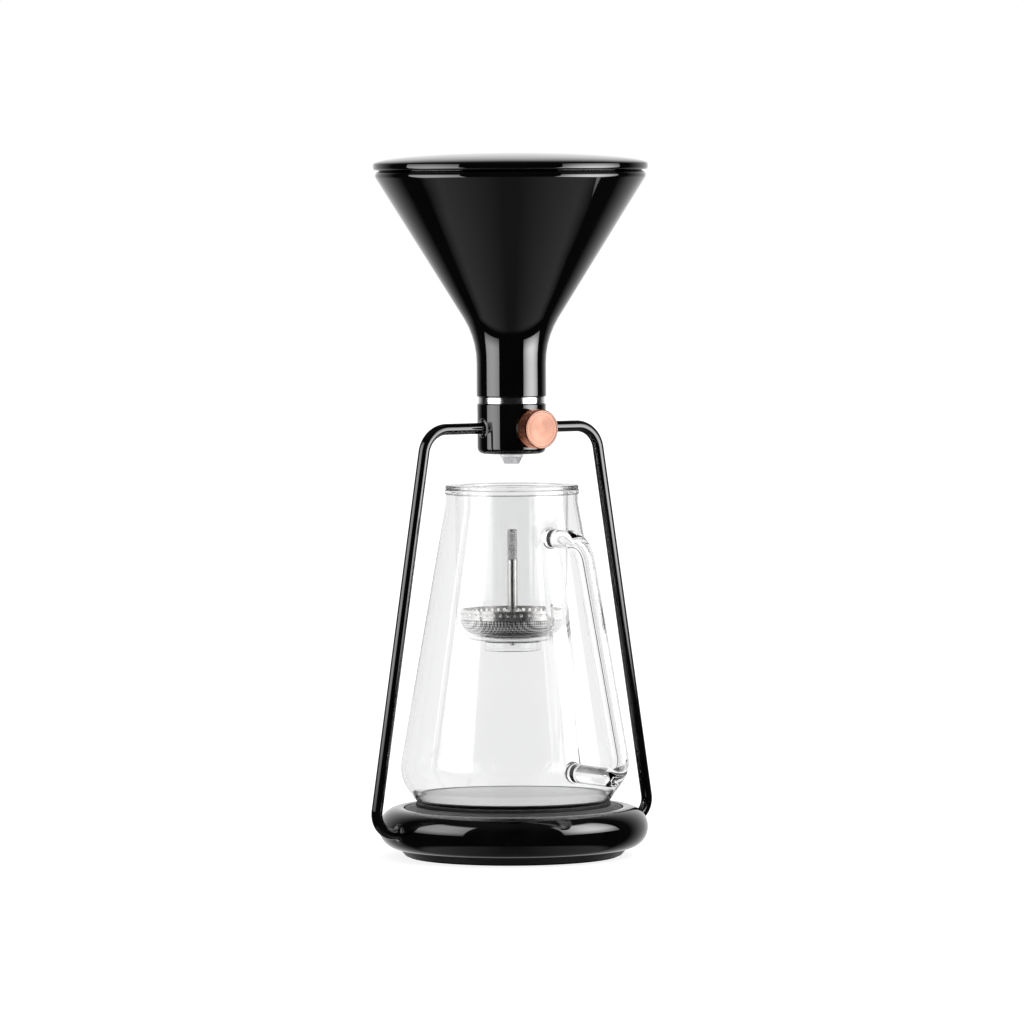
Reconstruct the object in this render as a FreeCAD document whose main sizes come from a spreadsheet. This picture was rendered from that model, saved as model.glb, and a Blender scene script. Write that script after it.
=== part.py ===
import FreeCAD, Part
import math
import os

import Sketcher

# Cold brew and pour-over coffee stand, in millimetres
#
# A ceramic funnel with a lid stands in a drip valve. Two bent wires carry the valve over a round base,
# which is a kitchen scale. A glass pitcher with a glass handle stands on the scale. A second glass, the
# drip insert, hangs in the pitcher's mouth and holds a steel filter with a lifting stem.
#
# The origin is on the floor at the centre of the base. +Z is up, the wires stand at +X and -X, and the
# valve knob and the pitcher's handle point to -Y.

doc = FreeCAD.newDocument("coffee_stand")


# Driving dimensions: each is written once here, and everything else follows from them

SIZES = (
    ("mat_radius", 56.4, "anti-slip mat under the base"),
    ("mat_thickness", 1.2, "the mat's height, which lifts the base off the floor"),
    ("mat_recess", 0.4, "how deep the mat is let into the bottom cover"),
    ("cover_foot_radius", 58.2, "bottom cover at its lower edge"),
    ("cover_shoulder_radius", 61.2, "bottom cover where the ring sits on it"),
    ("cover_height", 3.6, "bottom cover, lower edge to shoulder"),
    ("cover_floor", 1.7, "floor of the bottom cover over the mat"),
    ("cover_well_radius", 47.5, "room inside the bottom cover"),
    ("ring_tube_radius", 11.0, "round section of the base ring"),
    ("ring_circle_radius", 61.2, "circle that the round section runs along"),
    ("ring_bore_radius", 58.9, "bore of the base ring, round the platform"),
    ("ledge_bore_radius", 48.5, "bore of the ledge inside the base ring"),
    ("ledge_height", 6.1, "height of that ledge"),
    ("screw_circle_radius", 53.4, "circle of the cover screws and chassis screws"),
    ("screw_shank_radius", 1.5, "M3 screw shank"),
    ("screw_head_radius", 2.8, "M3 screw head"),
    ("screw_head_height", 1.7, "M3 screw head"),
    ("screw_grip", 5.0, "length of an M3 screw in its thread"),
    ("chassis_play", 0.5, "room between the chassis plate and the ring's bore"),
    ("chassis_thickness", 1.6, "steel chassis plate"),
    ("wire_hole_radius", 4.0, "hole for the load cell's wires"),
    ("wire_hole_offset", 28.0, "how far that hole is from the centre"),
    ("spacer_thickness", 1.5, "spacers under and over the load cell"),
    ("spacer_length", 14.0, "length of those spacers along the load cell"),
    ("cell_length", 60.0, "load cell beam"),
    ("cell_width", 12.7, "load cell beam"),
    ("cell_height", 8.0, "load cell beam"),
    ("cell_eye_radius", 2.7, "the two round eyes that let the beam bend"),
    ("cell_eye_pitch", 12.0, "distance between those eyes"),
    ("cell_slot_height", 1.6, "slot that joins the eyes"),
    ("cell_screw_inset", 7.0, "distance of the beam's screws from its ends"),
    ("carrier_radius", 46.0, "plate that carries the platform"),
    ("carrier_thickness", 2.0, "plate that carries the platform"),
    ("carrier_window_radius", 9.0, "lightening holes in the carrier"),
    ("carrier_window_circle", 29.0, "circle of the lightening holes"),
    ("platform_gap", 0.7, "gap between the platform and the ring's bore"),
    ("platform_thickness", 2.2, "top wall of the platform"),
    ("platform_skirt", 2.2, "side wall of the platform"),
    ("platform_depth", 10.3, "height of the platform, edge to rim"),
    ("platform_bevel_across", 3.6, "bevel round the platform's top"),
    ("platform_bevel_drop", 1.3, "bevel round the platform's top"),
    ("pad_radius", 52.2, "mat on the platform, under the pitcher"),
    ("pad_thickness", 1.7, "mat on the platform, under the pitcher"),
    ("wire_radius", 3.0, "the two frame wires"),
    ("wire_socket", 3.8, "how deep a wire end sits in its socket"),
    ("arm_reach", 53.0, "where a wire's arm would meet its leg, from the axis"),
    ("leg_offset", 15.0, "where a wire's leg would meet its foot, out from the ring"),
    ("arm_height", 229.5, "height of the arms and of the knob's axis"),
    ("arm_bend", 14.0, "bend radius at the top of a leg"),
    ("leg_bend", 11.0, "bend radius at the foot of a leg"),
    ("weld_throat", 2.0, "weld bead round a wire end, along the wire"),
    ("weld_leg", 3.0, "weld bead round a wire end, across the wire"),
    ("weld_edge", 0.05, "thickness of the weld bead where it runs out on the wire"),
    ("valve_radius", 18.35, "valve body"),
    ("valve_lower_height", 13.9, "valve body under the knob's axis"),
    ("valve_upper_height", 12.9, "valve body over the knob's axis"),
    ("valve_bottom_round", 3.4, "rounding of the lower edge"),
    ("valve_top_round", 0.5, "rounding of the upper edge"),
    ("valve_passage_radius", 3.6, "way for the coffee through the valve body"),
    ("plug_bore_radius", 5.6, "cross bore for the valve's plug"),
    ("plug_bore_depth", 10.4, "how far the cross bore runs past the axis"),
    ("plug_clearance", 0.05, "running clearance of the plug"),
    ("plug_port_radius", 3.2, "port through the plug"),
    ("plug_end_play", 0.4, "play at the blind end of the cross bore"),
    ("seal_groove", 1.7, "width of the two O-ring grooves"),
    ("seal_wire_radius", 0.75, "section of the O-rings"),
    ("seal_offset_front", 9.6, "front O-ring, from the axis"),
    ("seal_offset_back", 7.4, "back O-ring, from the axis"),
    ("gland_radius", 9.0, "packing nut inside the valve body"),
    ("gland_depth", 3.8, "depth of its seat"),
    ("gland_collar_radius", 7.6, "packing nut outside the valve body"),
    ("spindle_radius", 3.0, "spindle between the plug and the knob"),
    ("spindle_clearance", 0.05, "running clearance of the spindle"),
    ("knob_radius", 10.4, "knob"),
    ("knob_back", 22.5, "knob's back face, from the axis"),
    ("knob_length", 8.0, "knob"),
    ("knob_chamfer", 0.55, "chamfer round the knob's face"),
    ("knob_wall", 2.6, "metal left in front of the spindle"),
    ("knob_play", 0.25, "play between the knob and the packing nut"),
    ("set_screw_radius", 1.5, "set screw in the knob"),
    ("set_screw_length", 6.2, "set screw in the knob"),
    ("nozzle_socket_radius", 5.2, "socket for the drip nozzle"),
    ("nozzle_socket_depth", 5.4, "socket for the drip nozzle"),
    ("nozzle_fit", 0.1, "fit of the nozzle in its socket"),
    ("nozzle_flange_radius", 6.1, "drip nozzle against the valve body"),
    ("nozzle_flange_height", 1.9, "drip nozzle against the valve body"),
    ("nozzle_cone_radius", 5.6, "drip nozzle under its flange"),
    ("nozzle_tip_radius", 4.1, "drip nozzle at its tip"),
    ("nozzle_cone_height", 3.5, "drip nozzle under its flange"),
    ("nozzle_bore_radius", 2.2, "way for the coffee through the nozzle"),
    ("ferrule_radius", 17.7, "steel ring under the funnel"),
    ("ferrule_height", 3.7, "steel ring under the funnel"),
    ("ferrule_edge_round", 0.4, "rounding of the steel ring's edges"),
    ("ferrule_plug_radius", 14.0, "part of the ferrule inside the valve body"),
    ("ferrule_plug_depth", 4.2, "part of the ferrule inside the valve body"),
    ("ferrule_neck_radius", 12.8, "part of the ferrule inside the funnel's neck"),
    ("ferrule_neck_height", 8.0, "part of the ferrule inside the funnel's neck"),
    ("ferrule_fit", 0.2, "fit of the ferrule in its two seats"),
    ("seat_seal_thickness", 1.2, "flat seal under the ferrule"),
    ("funnel_bore_radius", 9.5, "bore of the funnel's neck and of the ferrule"),
    ("funnel_neck_radius", 18.55, "funnel's neck"),
    ("funnel_neck_top", 31.0, "where the cone would meet the neck, over the ferrule"),
    ("funnel_cone_height", 89.6, "height of the cone over that point"),
    ("funnel_mouth_radius", 74.28, "where the cone would meet the rim's top"),
    ("funnel_rim_round", 2.45, "rounding of the rim's outer edge"),
    ("funnel_lip_round", 0.8, "rounding of the rim's inner edge"),
    ("funnel_neck_blend", 46.0, "outside curve from neck to cone"),
    ("funnel_throat_blend", 14.0, "inside curve from bore to cone"),
    ("funnel_foot_round", 0.7, "rounding of the neck's lower edge"),
    ("funnel_wall", 5.2, "wall of the funnel"),
    ("lid_radius", 73.4, "lid"),
    ("lid_edge_height", 3.7, "lid's upright edge"),
    ("lid_edge_round", 1.6, "rounding of the lid's lower edge"),
    ("lid_shadow_gap", 0.6, "gap between the lid's edge and the funnel"),
    ("lid_seat_radius", 70.2, "face of the lid that lies on the funnel's rim"),
    ("lid_dome_height", 5.2, "rise of the lid's dome"),
    ("lid_lip_radius", 65.0, "ring under the lid that centres it"),
    ("lid_lip_wall", 3.0, "ring under the lid that centres it"),
    ("lid_lip_depth", 4.0, "ring under the lid that centres it"),
    ("lid_hollow", 2.4, "hollow under the lid"),
    ("pitcher_wall", 2.2, "glass of the pitcher"),
    ("pitcher_foot_radius", 51.2, "pitcher's foot"),
    ("pitcher_foot_round", 3.0, "rounding of the foot's edge"),
    ("pitcher_floor_round", 2.3, "rounding between the floor inside and the wall"),
    ("pitcher_belly_radius", 61.45, "where the belly's two slopes would meet"),
    ("pitcher_belly_height", 13.6, "height of that point over the pad"),
    ("pitcher_belly_round", 20.0, "rounding of the belly"),
    ("pitcher_neck_radius", 35.4, "pitcher's neck"),
    ("pitcher_neck_height", 160.8, "where the wall would meet the neck, over the pad"),
    ("pitcher_neck_round", 12.0, "curve from the wall to the neck"),
    ("pitcher_height", 167.9, "pitcher, foot to rim"),
    ("pitcher_rim_radius", 36.0, "bead round the pitcher's rim"),
    ("pitcher_rim_height", 2.5, "bead round the pitcher's rim"),
    ("pitcher_rim_round", 0.9, "rounding of the bead's upper edge"),
    ("pitcher_bead_round", 0.45, "rounding of the bead's lower edge"),
    ("handle_radius", 5.0, "glass rod of the handle"),
    ("handle_top_reach", 69.4, "where the upper bar would meet the grip"),
    ("handle_top_height", 142.9, "height of the upper bar over the pad"),
    ("handle_foot_reach", 107.9, "where the lower bar would meet the grip"),
    ("handle_foot_height", 19.6, "height of the lower bar over the pad"),
    ("handle_top_bend", 12.0, "bend radius of the rod at the top"),
    ("handle_foot_bend", 9.0, "bend radius of the rod at the bottom"),
    ("handle_root", 26.0, "start of the rod, inside the glass wall"),
    ("insert_radius", 30.2, "drip insert"),
    ("insert_wall", 1.8, "glass of the drip insert"),
    ("insert_depth", 81.1, "drip insert, flange to shoulder"),
    ("insert_corner", 11.0, "rounding between its side and its bottom"),
    ("insert_flange_radius", 35.7, "flange that hangs on the pitcher's rim"),
    ("insert_flange_height", 2.0, "flange that hangs on the pitcher's rim"),
    ("insert_flange_round", 0.9, "rounding of the flange's upper edge"),
    ("insert_hem_round", 0.45, "rounding of the flange's lower edge"),
    ("insert_throat_round", 2.6, "curve under the flange"),
    ("insert_mouth_round", 3.5, "curve inside the mouth"),
    ("outlet_radius", 15.0, "outlet under the drip insert"),
    ("outlet_length", 5.6, "outlet under the drip insert"),
    ("outlet_round", 1.2, "curve between the bottom and the outlet"),
    ("filter_seal_inner", 15.0, "flat seal between filter and glass"),
    ("filter_seal_outer", 19.0, "flat seal between filter and glass"),
    ("filter_seal_thickness", 1.0, "flat seal between filter and glass"),
    ("filter_radius", 27.8, "steel filter"),
    ("filter_depth", 8.8, "mesh dish of the filter"),
    ("filter_corner", 8.6, "rounding of the mesh dish"),
    ("mesh_thickness", 0.6, "mesh dish of the filter"),
    ("plate_thickness", 0.8, "steel sheet of the filter's cup"),
    ("band_height", 4.2, "upright band round the filter's cup"),
    ("band_hole_radius", 0.9, "holes in that band"),
    ("plate_hole_radius", 0.9, "holes in the cup's floor"),
    ("plate_hole_pitch", 6.4, "distance between the rings of holes in the floor"),
    ("stem_radius", 2.85, "stem that lifts the filter"),
    ("stem_length", 26.8, "smooth part of the stem"),
    ("stem_rod_radius", 1.6, "threaded rod under the stem"),
    ("stem_rod_tail", 1.8, "end of the rod past the nut"),
    ("stem_stub_radius", 1.5, "threaded end that holds the grip"),
    ("stem_stub_length", 9.0, "threaded end that holds the grip"),
    ("grip_radius", 2.6, "knurled grip on the stem"),
    ("grip_length", 16.3, "knurled grip on the stem"),
    ("grip_round", 0.5, "rounding of the grip's top"),
    ("collar_radius", 4.85, "collar at the stem's foot"),
    ("collar_height", 3.7, "collar at the stem's foot"),
    ("washer_radius", 3.6, "washer under the filter"),
    ("washer_thickness", 0.8, "washer under the filter"),
    ("nut_radius", 3.2, "nut under the filter, over its corners"),
    ("nut_height", 3.2, "nut under the filter"),
    ("door_offset", 22.0, "battery door, from the centre"),
    ("door_radius", 13.8, "battery door"),
    ("door_clearance", 0.25, "play round the battery door"),
    ("door_thickness", 3.2, "battery door"),
    ("door_lug_reach", 1.9, "bayonet lugs past the door's edge"),
    ("door_lug_width", 6.0, "bayonet lugs"),
    ("door_lug_height", 1.0, "bayonet lugs"),
    ("door_notch_play", 0.5, "play of a lug in its notch, on each side"),
    ("door_slot_width", 1.8, "coin slot in the door"),
    ("door_slot_length", 16.0, "coin slot in the door"),
    ("door_slot_depth", 1.1, "coin slot in the door"),
    ("door_turn", 60.0, "turn between the lugs at rest and their notches, in degrees"),
    ("coin_radius", 10.0, "coin cell"),
    ("coin_height", 3.1, "coin cell"),
    ("coin_play", 0.3, "play between the coin cells and their holder"),
    ("holder_wall", 2.2, "battery holder"),
    ("board_length", 43.0, "circuit board"),
    ("board_width", 34.0, "circuit board"),
    ("board_thickness", 1.6, "circuit board"),
    ("board_offset", 20.4, "circuit board, from the centre"),
    ("board_lift", 3.7, "pillars under the circuit board"),
    ("board_inset", 3.0, "board screws from the board's edges"),
    ("pillar_radius", 2.6, "pillars under the circuit board"),
    ("board_screw_radius", 1.0, "M2 screw shank"),
    ("board_screw_head", 1.9, "M2 screw head"),
    ("board_screw_length", 4.2, "M2 screw under its head"),
    ("board_screw_cap", 1.2, "height of an M2 screw head"),
    ("chip_width", 8.0, "processor on the circuit board"),
    ("chip_height", 1.0, "processor on the circuit board"),
    ("switch_width", 6.0, "key switch under the circuit board"),
    ("switch_height", 2.4, "key switch under the circuit board"),
    ("button_offset", 20.0, "power button, from the centre"),
    ("button_radius", 4.0, "power button"),
    ("button_clearance", 0.25, "play round the power button"),
    ("button_flange_radius", 5.6, "flange that keeps the button in"),
    ("button_flange_height", 0.6, "flange that keeps the button in"),
    ("window_margin", 1.2, "mat cut back round the door and the button"),
    ("overrun", 1.0, "how far a cutting solid runs past the face that it cuts"),
)

DIAGONAL = 45  # degrees from +X
RING_SCREWS = 4
CARRIER_WINDOWS = 4
COIN_CELLS = 2
BAND_HOLES = 48
PLATE_RINGS = 3
PLATE_HOLES = 10  # in the innermost ring, and as many more in each ring outwards
CUBIC_CM = 1000  # in cubic millimetres

sheet = doc.addObject("Spreadsheet::Sheet", "Sizes")
for row, (alias, amount, note) in enumerate(SIZES, start=1):
    sheet.set(f"A{row}", note)
    sheet.set(f"B{row}", str(amount))
    sheet.setAlias(f"B{row}", alias)
doc.recompute()


class Size:
    """A length that follows the sheet: its number, and the formula that a property is bound to."""

    def __init__(self, number, formula):
        self.number = number
        self.formula = formula

    def __add__(self, other):
        other = as_size(other)
        return Size(self.number + other.number, f"({self.formula} + {other.formula})")

    def __sub__(self, other):
        other = as_size(other)
        return Size(self.number - other.number, f"({self.formula} - {other.formula})")

    def __mul__(self, other):
        other = as_size(other)
        return Size(self.number * other.number, f"({self.formula} * {other.formula})")

    def __truediv__(self, other):
        other = as_size(other)
        return Size(self.number / other.number, f"({self.formula} / {other.formula})")

    def __neg__(self):
        return Size(-self.number, f"(0 - {self.formula})")

    def __radd__(self, other):
        return as_size(other) + self

    def __rsub__(self, other):
        return as_size(other) - self

    def __rmul__(self, other):
        return as_size(other) * self

    def root(self):
        return Size(math.sqrt(self.number), f"sqrt({self.formula})")


def as_size(value):
    if isinstance(value, Size):
        return value
    return Size(float(value), f"({float(value):.9f})")


class Sheet:
    """Reads the sheet's cells by alias, as sizes that can be added up."""

    def __getattr__(self, alias):
        return Size(float(sheet.get(alias)), f"Sizes.{alias}")


size = Sheet()


# Levels that several pieces share, from the floor up

cover_bottom = size.mat_thickness - size.mat_recess
ring_bottom = cover_bottom + size.cover_height
ring_center = ring_bottom + size.ring_tube_radius
cover_inside = size.mat_thickness + size.cover_floor
ledge_top = ring_bottom + size.ledge_height
chassis_top = ledge_top + size.chassis_thickness
cell_bottom = chassis_top + size.spacer_thickness
cell_top = cell_bottom + size.cell_height
carrier_bottom = cell_top + size.spacer_thickness
carrier_top = carrier_bottom + size.carrier_thickness
platform_top = carrier_top + size.platform_thickness
pad_top = platform_top + size.pad_thickness
pitcher_rim = pad_top + size.pitcher_height
flange_top = pitcher_rim + size.insert_flange_height
insert_bottom = pitcher_rim - size.insert_depth
insert_floor = insert_bottom + size.insert_wall
mesh_bottom = insert_floor + size.filter_seal_thickness
mesh_top = mesh_bottom + size.filter_depth
plate_top = mesh_top + size.plate_thickness
collar_top = plate_top + size.collar_height
stem_top = collar_top + size.stem_length
washer_bottom = mesh_bottom - size.washer_thickness
nut_bottom = washer_bottom - size.nut_height
valve_bottom = size.arm_height - size.valve_lower_height
valve_top = size.arm_height + size.valve_upper_height
ferrule_top = valve_top + size.ferrule_height
funnel_bend = ferrule_top + size.funnel_neck_top
funnel_top = funnel_bend + size.funnel_cone_height
lid_edge_bottom = funnel_top + size.lid_shadow_gap
lid_edge_top = lid_edge_bottom + size.lid_edge_height


# Tools for drawing

def bind(thing, **amounts):
    """Tie each named property of a thing to a size."""
    for name, amount in amounts.items():
        thing.setExpression(name, as_size(amount).formula)


def place(thing, x=0, y=0, z=0):
    """Put a thing at a point that follows the sheet; a plain 0 leaves it on that axis."""
    for axis, amount in (("x", x), ("y", y), ("z", z)):
        if isinstance(amount, Size):
            thing.setExpression(f"Placement.Base.{axis}", amount.formula)


TURNS = {
    "+Z": FreeCAD.Rotation(),
    "-Z": FreeCAD.Rotation(FreeCAD.Vector(1, 0, 0), 180),
    "+X": FreeCAD.Rotation(FreeCAD.Vector(0, 1, 0), 90),
    "-X": FreeCAD.Rotation(FreeCAD.Vector(0, 1, 0), -90),
    "-Y": FreeCAD.Rotation(FreeCAD.Vector(1, 0, 0), 90),
}


def cylinder(name, radius, height, x=0, y=0, z=0, along="+Z"):
    thing = doc.addObject("Part::Cylinder", name)
    bind(thing, Radius=radius, Height=height)
    thing.Placement = FreeCAD.Placement(FreeCAD.Vector(), TURNS[along])
    place(thing, x, y, z)
    return thing


def cone(name, start_radius, end_radius, height, x=0, y=0, z=0, along="+Z"):
    thing = doc.addObject("Part::Cone", name)
    bind(thing, Radius1=start_radius, Radius2=end_radius, Height=height)
    thing.Placement = FreeCAD.Placement(FreeCAD.Vector(), TURNS[along])
    place(thing, x, y, z)
    return thing


def torus(name, circle_radius, tube_radius, x=0, y=0, z=0, along="+Z"):
    thing = doc.addObject("Part::Torus", name)
    bind(thing, Radius1=circle_radius, Radius2=tube_radius)
    thing.Placement = FreeCAD.Placement(FreeCAD.Vector(), TURNS[along])
    place(thing, x, y, z)
    return thing


def block(name, length, width, height, x=0, y=0, z=0):
    """A block whose bottom face is centred on the point."""
    thing = doc.addObject("Part::Box", name)
    bind(thing, Length=length, Width=width, Height=height)
    place(thing, x - as_size(length) / 2, y - as_size(width) / 2, z)
    return thing


def fuse(name, things):
    thing = doc.addObject("Part::MultiFuse", name)
    thing.Shapes = things
    return thing


def cut(name, base, *tools):
    tool = tools[0] if len(tools) == 1 else group(f"{name}_tools", list(tools))
    thing = doc.addObject("Part::Cut", name)
    thing.Base = base
    thing.Tool = tool
    return thing


def common(name, first, second):
    thing = doc.addObject("Part::Common", name)
    thing.Base = first
    thing.Tool = second
    return thing


def group(name, things):
    """Several solids that stay apart in one piece."""
    thing = doc.addObject("Part::Compound", name)
    thing.Links = things
    return thing


def origin_plane(body, role):
    for feature in body.Origin.OriginFeatures:
        if feature.Role == role:
            return feature
    raise ValueError(role)


def plane_sketch(body, name, role):
    sketch = body.newObject("Sketcher::SketchObject", name)
    sketch.AttachmentSupport = [(origin_plane(body, role), "")]
    sketch.MapMode = "FlatFace"
    return sketch


def point_of(corner):
    return FreeCAD.Vector(as_size(corner[0]).number, as_size(corner[1]).number, 0)


def rounded(point, before, after, radius):
    """Where a rounding of this corner starts and ends, its arc, and whether it turns to the left."""
    back = (before - point).normalize()
    ahead = (after - point).normalize()
    half = back.getAngle(ahead) / 2
    reach = radius / math.tan(half)
    center = point + (back + ahead).normalize() * (radius / math.sin(half))
    first = point + back * reach
    last = point + ahead * reach
    leftward = ahead.cross(back).z > 0
    start, end = (first, last) if leftward else (last, first)
    start_angle = math.atan2(start.y - center.y, start.x - center.x)
    end_angle = math.atan2(end.y - center.y, end.x - center.x)
    if end_angle < start_angle:
        end_angle += 2 * math.pi
    circle = Part.Circle(center, FreeCAD.Vector(0, 0, 1), radius)
    return first, last, Part.ArcOfCircle(circle, start_angle, end_angle), leftward


def draw(sketch, corners, closed=True):
    """Draw straight lines from corner to corner, and an arc at each corner that has a rounding."""
    count = len(corners)
    points = [point_of(corner) for corner in corners]
    starts = list(points)
    ends = list(points)
    arcs = {}
    for i, corner in enumerate(corners):
        if len(corner) == 3:
            after = points[(i + 1) % count]
            ends[i], starts[i], arc, leftward = rounded(
                points[i], points[i - 1], after, corner[2].number
            )
            arcs[i] = arc, leftward
    line_count = count if closed else count - 1
    lines = [
        sketch.addGeometry(Part.LineSegment(starts[i], ends[(i + 1) % count]), False)
        for i in range(line_count)
    ]
    rules = []
    formulas = {}

    def rule(*terms, formula=None):
        if formula:
            formulas[len(rules)] = formula
        rules.append(Sketcher.Constraint(*terms))

    def pin(geometry, end, corner):
        """Hold one point at a place that follows the sheet."""
        for kind, axis, amount in (("DistanceX", -2, corner[0]), ("DistanceY", -1, corner[1])):
            if isinstance(amount, Size):
                rule(kind, -1, 1, geometry, end, amount.number, formula=amount.formula)
            else:
                rule("PointOnObject", geometry, end, axis)

    for i, corner in enumerate(corners):
        before = lines[i - 1] if (closed or i > 0) else None
        after = lines[i] if i < line_count else None
        if i in arcs:
            shape, leftward = arcs[i]
            arc = sketch.addGeometry(shape, False)
            mark = sketch.addGeometry(Part.Point(points[i]), True)
            first, last = (1, 2) if leftward else (2, 1)
            rule("Tangent", before, 2, arc, first)
            rule("Tangent", after, 1, arc, last)
            rule("PointOnObject", mark, 1, before)
            rule("PointOnObject", mark, 1, after)
            rule("Radius", arc, corner[2].number, formula=corner[2].formula)
            pin(mark, 1, corner)
            continue
        if before is not None and after is not None:
            rule("Coincident", before, 2, after, 1)
        if after is not None:
            pin(after, 1, corner)
        else:
            pin(before, 2, corner)
    sketch.addConstraint(rules)
    for index, formula in formulas.items():
        sketch.setExpression(f"Constraints[{index}]", formula)
    return line_count + len(arcs)


def revolved(name, corners):
    """A body turned about the vertical axis from an outline of corners (radius, height, rounding)."""
    body = doc.addObject("PartDesign::Body", name)
    sketch = plane_sketch(body, f"{name}_outline", "XZ_Plane")
    draw(sketch, corners)
    turned = body.newObject("PartDesign::Revolution", f"{name}_turned")
    turned.Profile = sketch
    turned.ReferenceAxis = (sketch, ["V_Axis"])
    turned.Angle = 360
    return body


def bent_rod(name, role, start_role, start, corners, radius):
    """A round rod along a flat path of corners (across, up, bend radius), square to its start."""
    body = doc.addObject("PartDesign::Body", name)
    path = plane_sketch(body, f"{name}_path", role)
    edges = draw(path, corners, closed=False)
    section = plane_sketch(body, f"{name}_section", start_role)
    offset, height = start
    section.AttachmentOffset = FreeCAD.Placement(
        FreeCAD.Vector(0, 0, offset.number), FreeCAD.Rotation()
    )
    section.setExpression("AttachmentOffset.Base.z", offset.formula)
    circle = section.addGeometry(
        Part.Circle(FreeCAD.Vector(0, height.number, 0), FreeCAD.Vector(0, 0, 1), radius.number),
        False,
    )
    section.addConstraint(Sketcher.Constraint("PointOnObject", circle, 3, -2))
    lift = section.addConstraint(
        Sketcher.Constraint("DistanceY", -1, 1, circle, 3, height.number)
    )
    section.setExpression(f"Constraints[{lift}]", height.formula)
    ring = section.addConstraint(Sketcher.Constraint("Radius", circle, radius.number))
    section.setExpression(f"Constraints[{ring}]", radius.formula)
    pipe = body.newObject("PartDesign::AdditivePipe", f"{name}_pipe")
    pipe.Profile = section
    pipe.Spine = (path, [f"Edge{i + 1}" for i in range(edges)])
    return body


def unit_normal(start, end):
    """Unit normal to the left of the line from start to end, as two sizes."""
    across = as_size(end[0]) - start[0]
    up = as_size(end[1]) - start[1]
    length = (across * across + up * up).root()
    return -up / length, across / length


def inset(before, corner, after, distance):
    """The corner moved to the left of its two lines, so that both walls get this thickness."""
    ax, ay = unit_normal(before, corner)
    bx, by = unit_normal(corner, after)
    share = distance / (ax * bx + ay * by + 1)
    return corner[0] + (ax + bx) * share, corner[1] + (ay + by) * share


def around(count, radius, start=0.0):
    """Evenly spaced places on a circle."""
    for i in range(count):
        angle = math.radians(start + 360 * i / count)
        yield radius * math.cos(angle), radius * math.sin(angle)


subparts = {}


def keep(name, thing):
    """Give a finished piece its name."""
    thing.Label = name
    subparts[name] = thing
    return thing


# Screws

def flat_screw(name, x, y, head_face, along="+Z"):
    """A countersunk M3 screw whose head's flat face is at the given height."""
    slope = size.screw_head_radius - size.screw_shank_radius
    head = cone(
        f"{name}_head", size.screw_head_radius, size.screw_shank_radius, slope,
        x, y, head_face, along,
    )
    shank_start = head_face + slope if along == "+Z" else head_face - slope
    shank = cylinder(
        f"{name}_shank", size.screw_shank_radius, size.screw_grip, x, y, shank_start, along
    )
    return fuse(name, [head, shank])


def pan_screw(name, x, y, seat, head_radius, head_height, shank_radius, length):
    """A screw that points down, with its head standing on the seat."""
    head = cylinder(f"{name}_head", head_radius, head_height, x, y, seat)
    shank = cylinder(f"{name}_shank", shank_radius, length, x, y, seat - length)
    return fuse(name, [head, shank])


# Base ring: a round casting with a ledge inside that holds the scale's parts

cover_screws = [
    flat_screw(f"cover_screw_{i}", x, y, size.mat_thickness)
    for i, (x, y) in enumerate(around(RING_SCREWS, size.screw_circle_radius, DIAGONAL))
]
chassis_screws = [
    pan_screw(
        f"chassis_screw_{i}", x, y, chassis_top, size.screw_head_radius,
        size.screw_head_height, size.screw_shank_radius, size.screw_grip,
    )
    for i, (x, y) in enumerate(around(RING_SCREWS, size.screw_circle_radius))
]
keep("cover_screws", group("cover_screws", cover_screws))
keep("chassis_screws", group("chassis_screws", chassis_screws))

ring_radius = size.ring_circle_radius + size.ring_tube_radius
leg_reach = ring_radius + size.leg_offset
wire_end = ring_radius - size.wire_socket
wire_start = size.valve_radius - size.wire_socket


def wire_sockets(name, start, height):
    """Two round holes at +X and -X that the wire ends sit in."""
    return [
        cylinder(f"{name}_{side}", size.wire_radius, leg_reach, x, 0, height, along)
        for side, x, along in (("right", start, "+X"), ("left", -start, "-X"))
    ]


ring_tube = torus("ring_tube", size.ring_circle_radius, size.ring_tube_radius, z=ring_center)
ring_bore = cylinder(
    "ring_bore", size.ring_bore_radius, (size.ring_tube_radius + size.overrun) * 2,
    z=ring_bottom - size.overrun,
)
ring_ledge = revolved(
    "ring_ledge",
    [
        (size.ledge_bore_radius, ring_bottom),
        (size.ring_circle_radius, ring_bottom),
        (size.ring_circle_radius, ledge_top),
        (size.ledge_bore_radius, ledge_top),
    ],
)
ring_blank = fuse("ring_blank", [cut("ring_shell", ring_tube, ring_bore), ring_ledge])
keep(
    "base_ring",
    cut(
        "base_ring",
        ring_blank,
        *wire_sockets("ring_socket", wire_end, ring_center),
        subparts["cover_screws"],
        subparts["chassis_screws"],
    ),
)


# Bottom cover with the battery door, the power button and the anti-slip mat

cover_shell = revolved(
    "cover_shell",
    [
        (0, cover_bottom),
        (size.cover_foot_radius, cover_bottom),
        (size.cover_shoulder_radius, ring_bottom),
        (size.cover_well_radius, ring_bottom),
        (size.cover_well_radius, cover_inside),
        (0, cover_inside),
    ],
)
door_hole_radius = size.door_radius + size.door_clearance
door_hole = cylinder("door_hole", door_hole_radius, size.cover_height, x=-size.door_offset)
lug_reach = size.door_radius + size.door_lug_reach


def turned_block(name, length, width, height, x, z, turn):
    """A block turned about the vertical line through its centre."""
    bar = block(f"{name}_bar", length, width, height, 0, 0, z)
    holder = group(name, [bar])
    holder.Placement = FreeCAD.Placement(
        FreeCAD.Vector(), FreeCAD.Rotation(FreeCAD.Vector(0, 0, 1), 0)
    )
    holder.setExpression("Placement.Base.x", x.formula)
    holder.setExpression("Placement.Rotation.Angle", as_size(turn).formula)
    return holder


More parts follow.
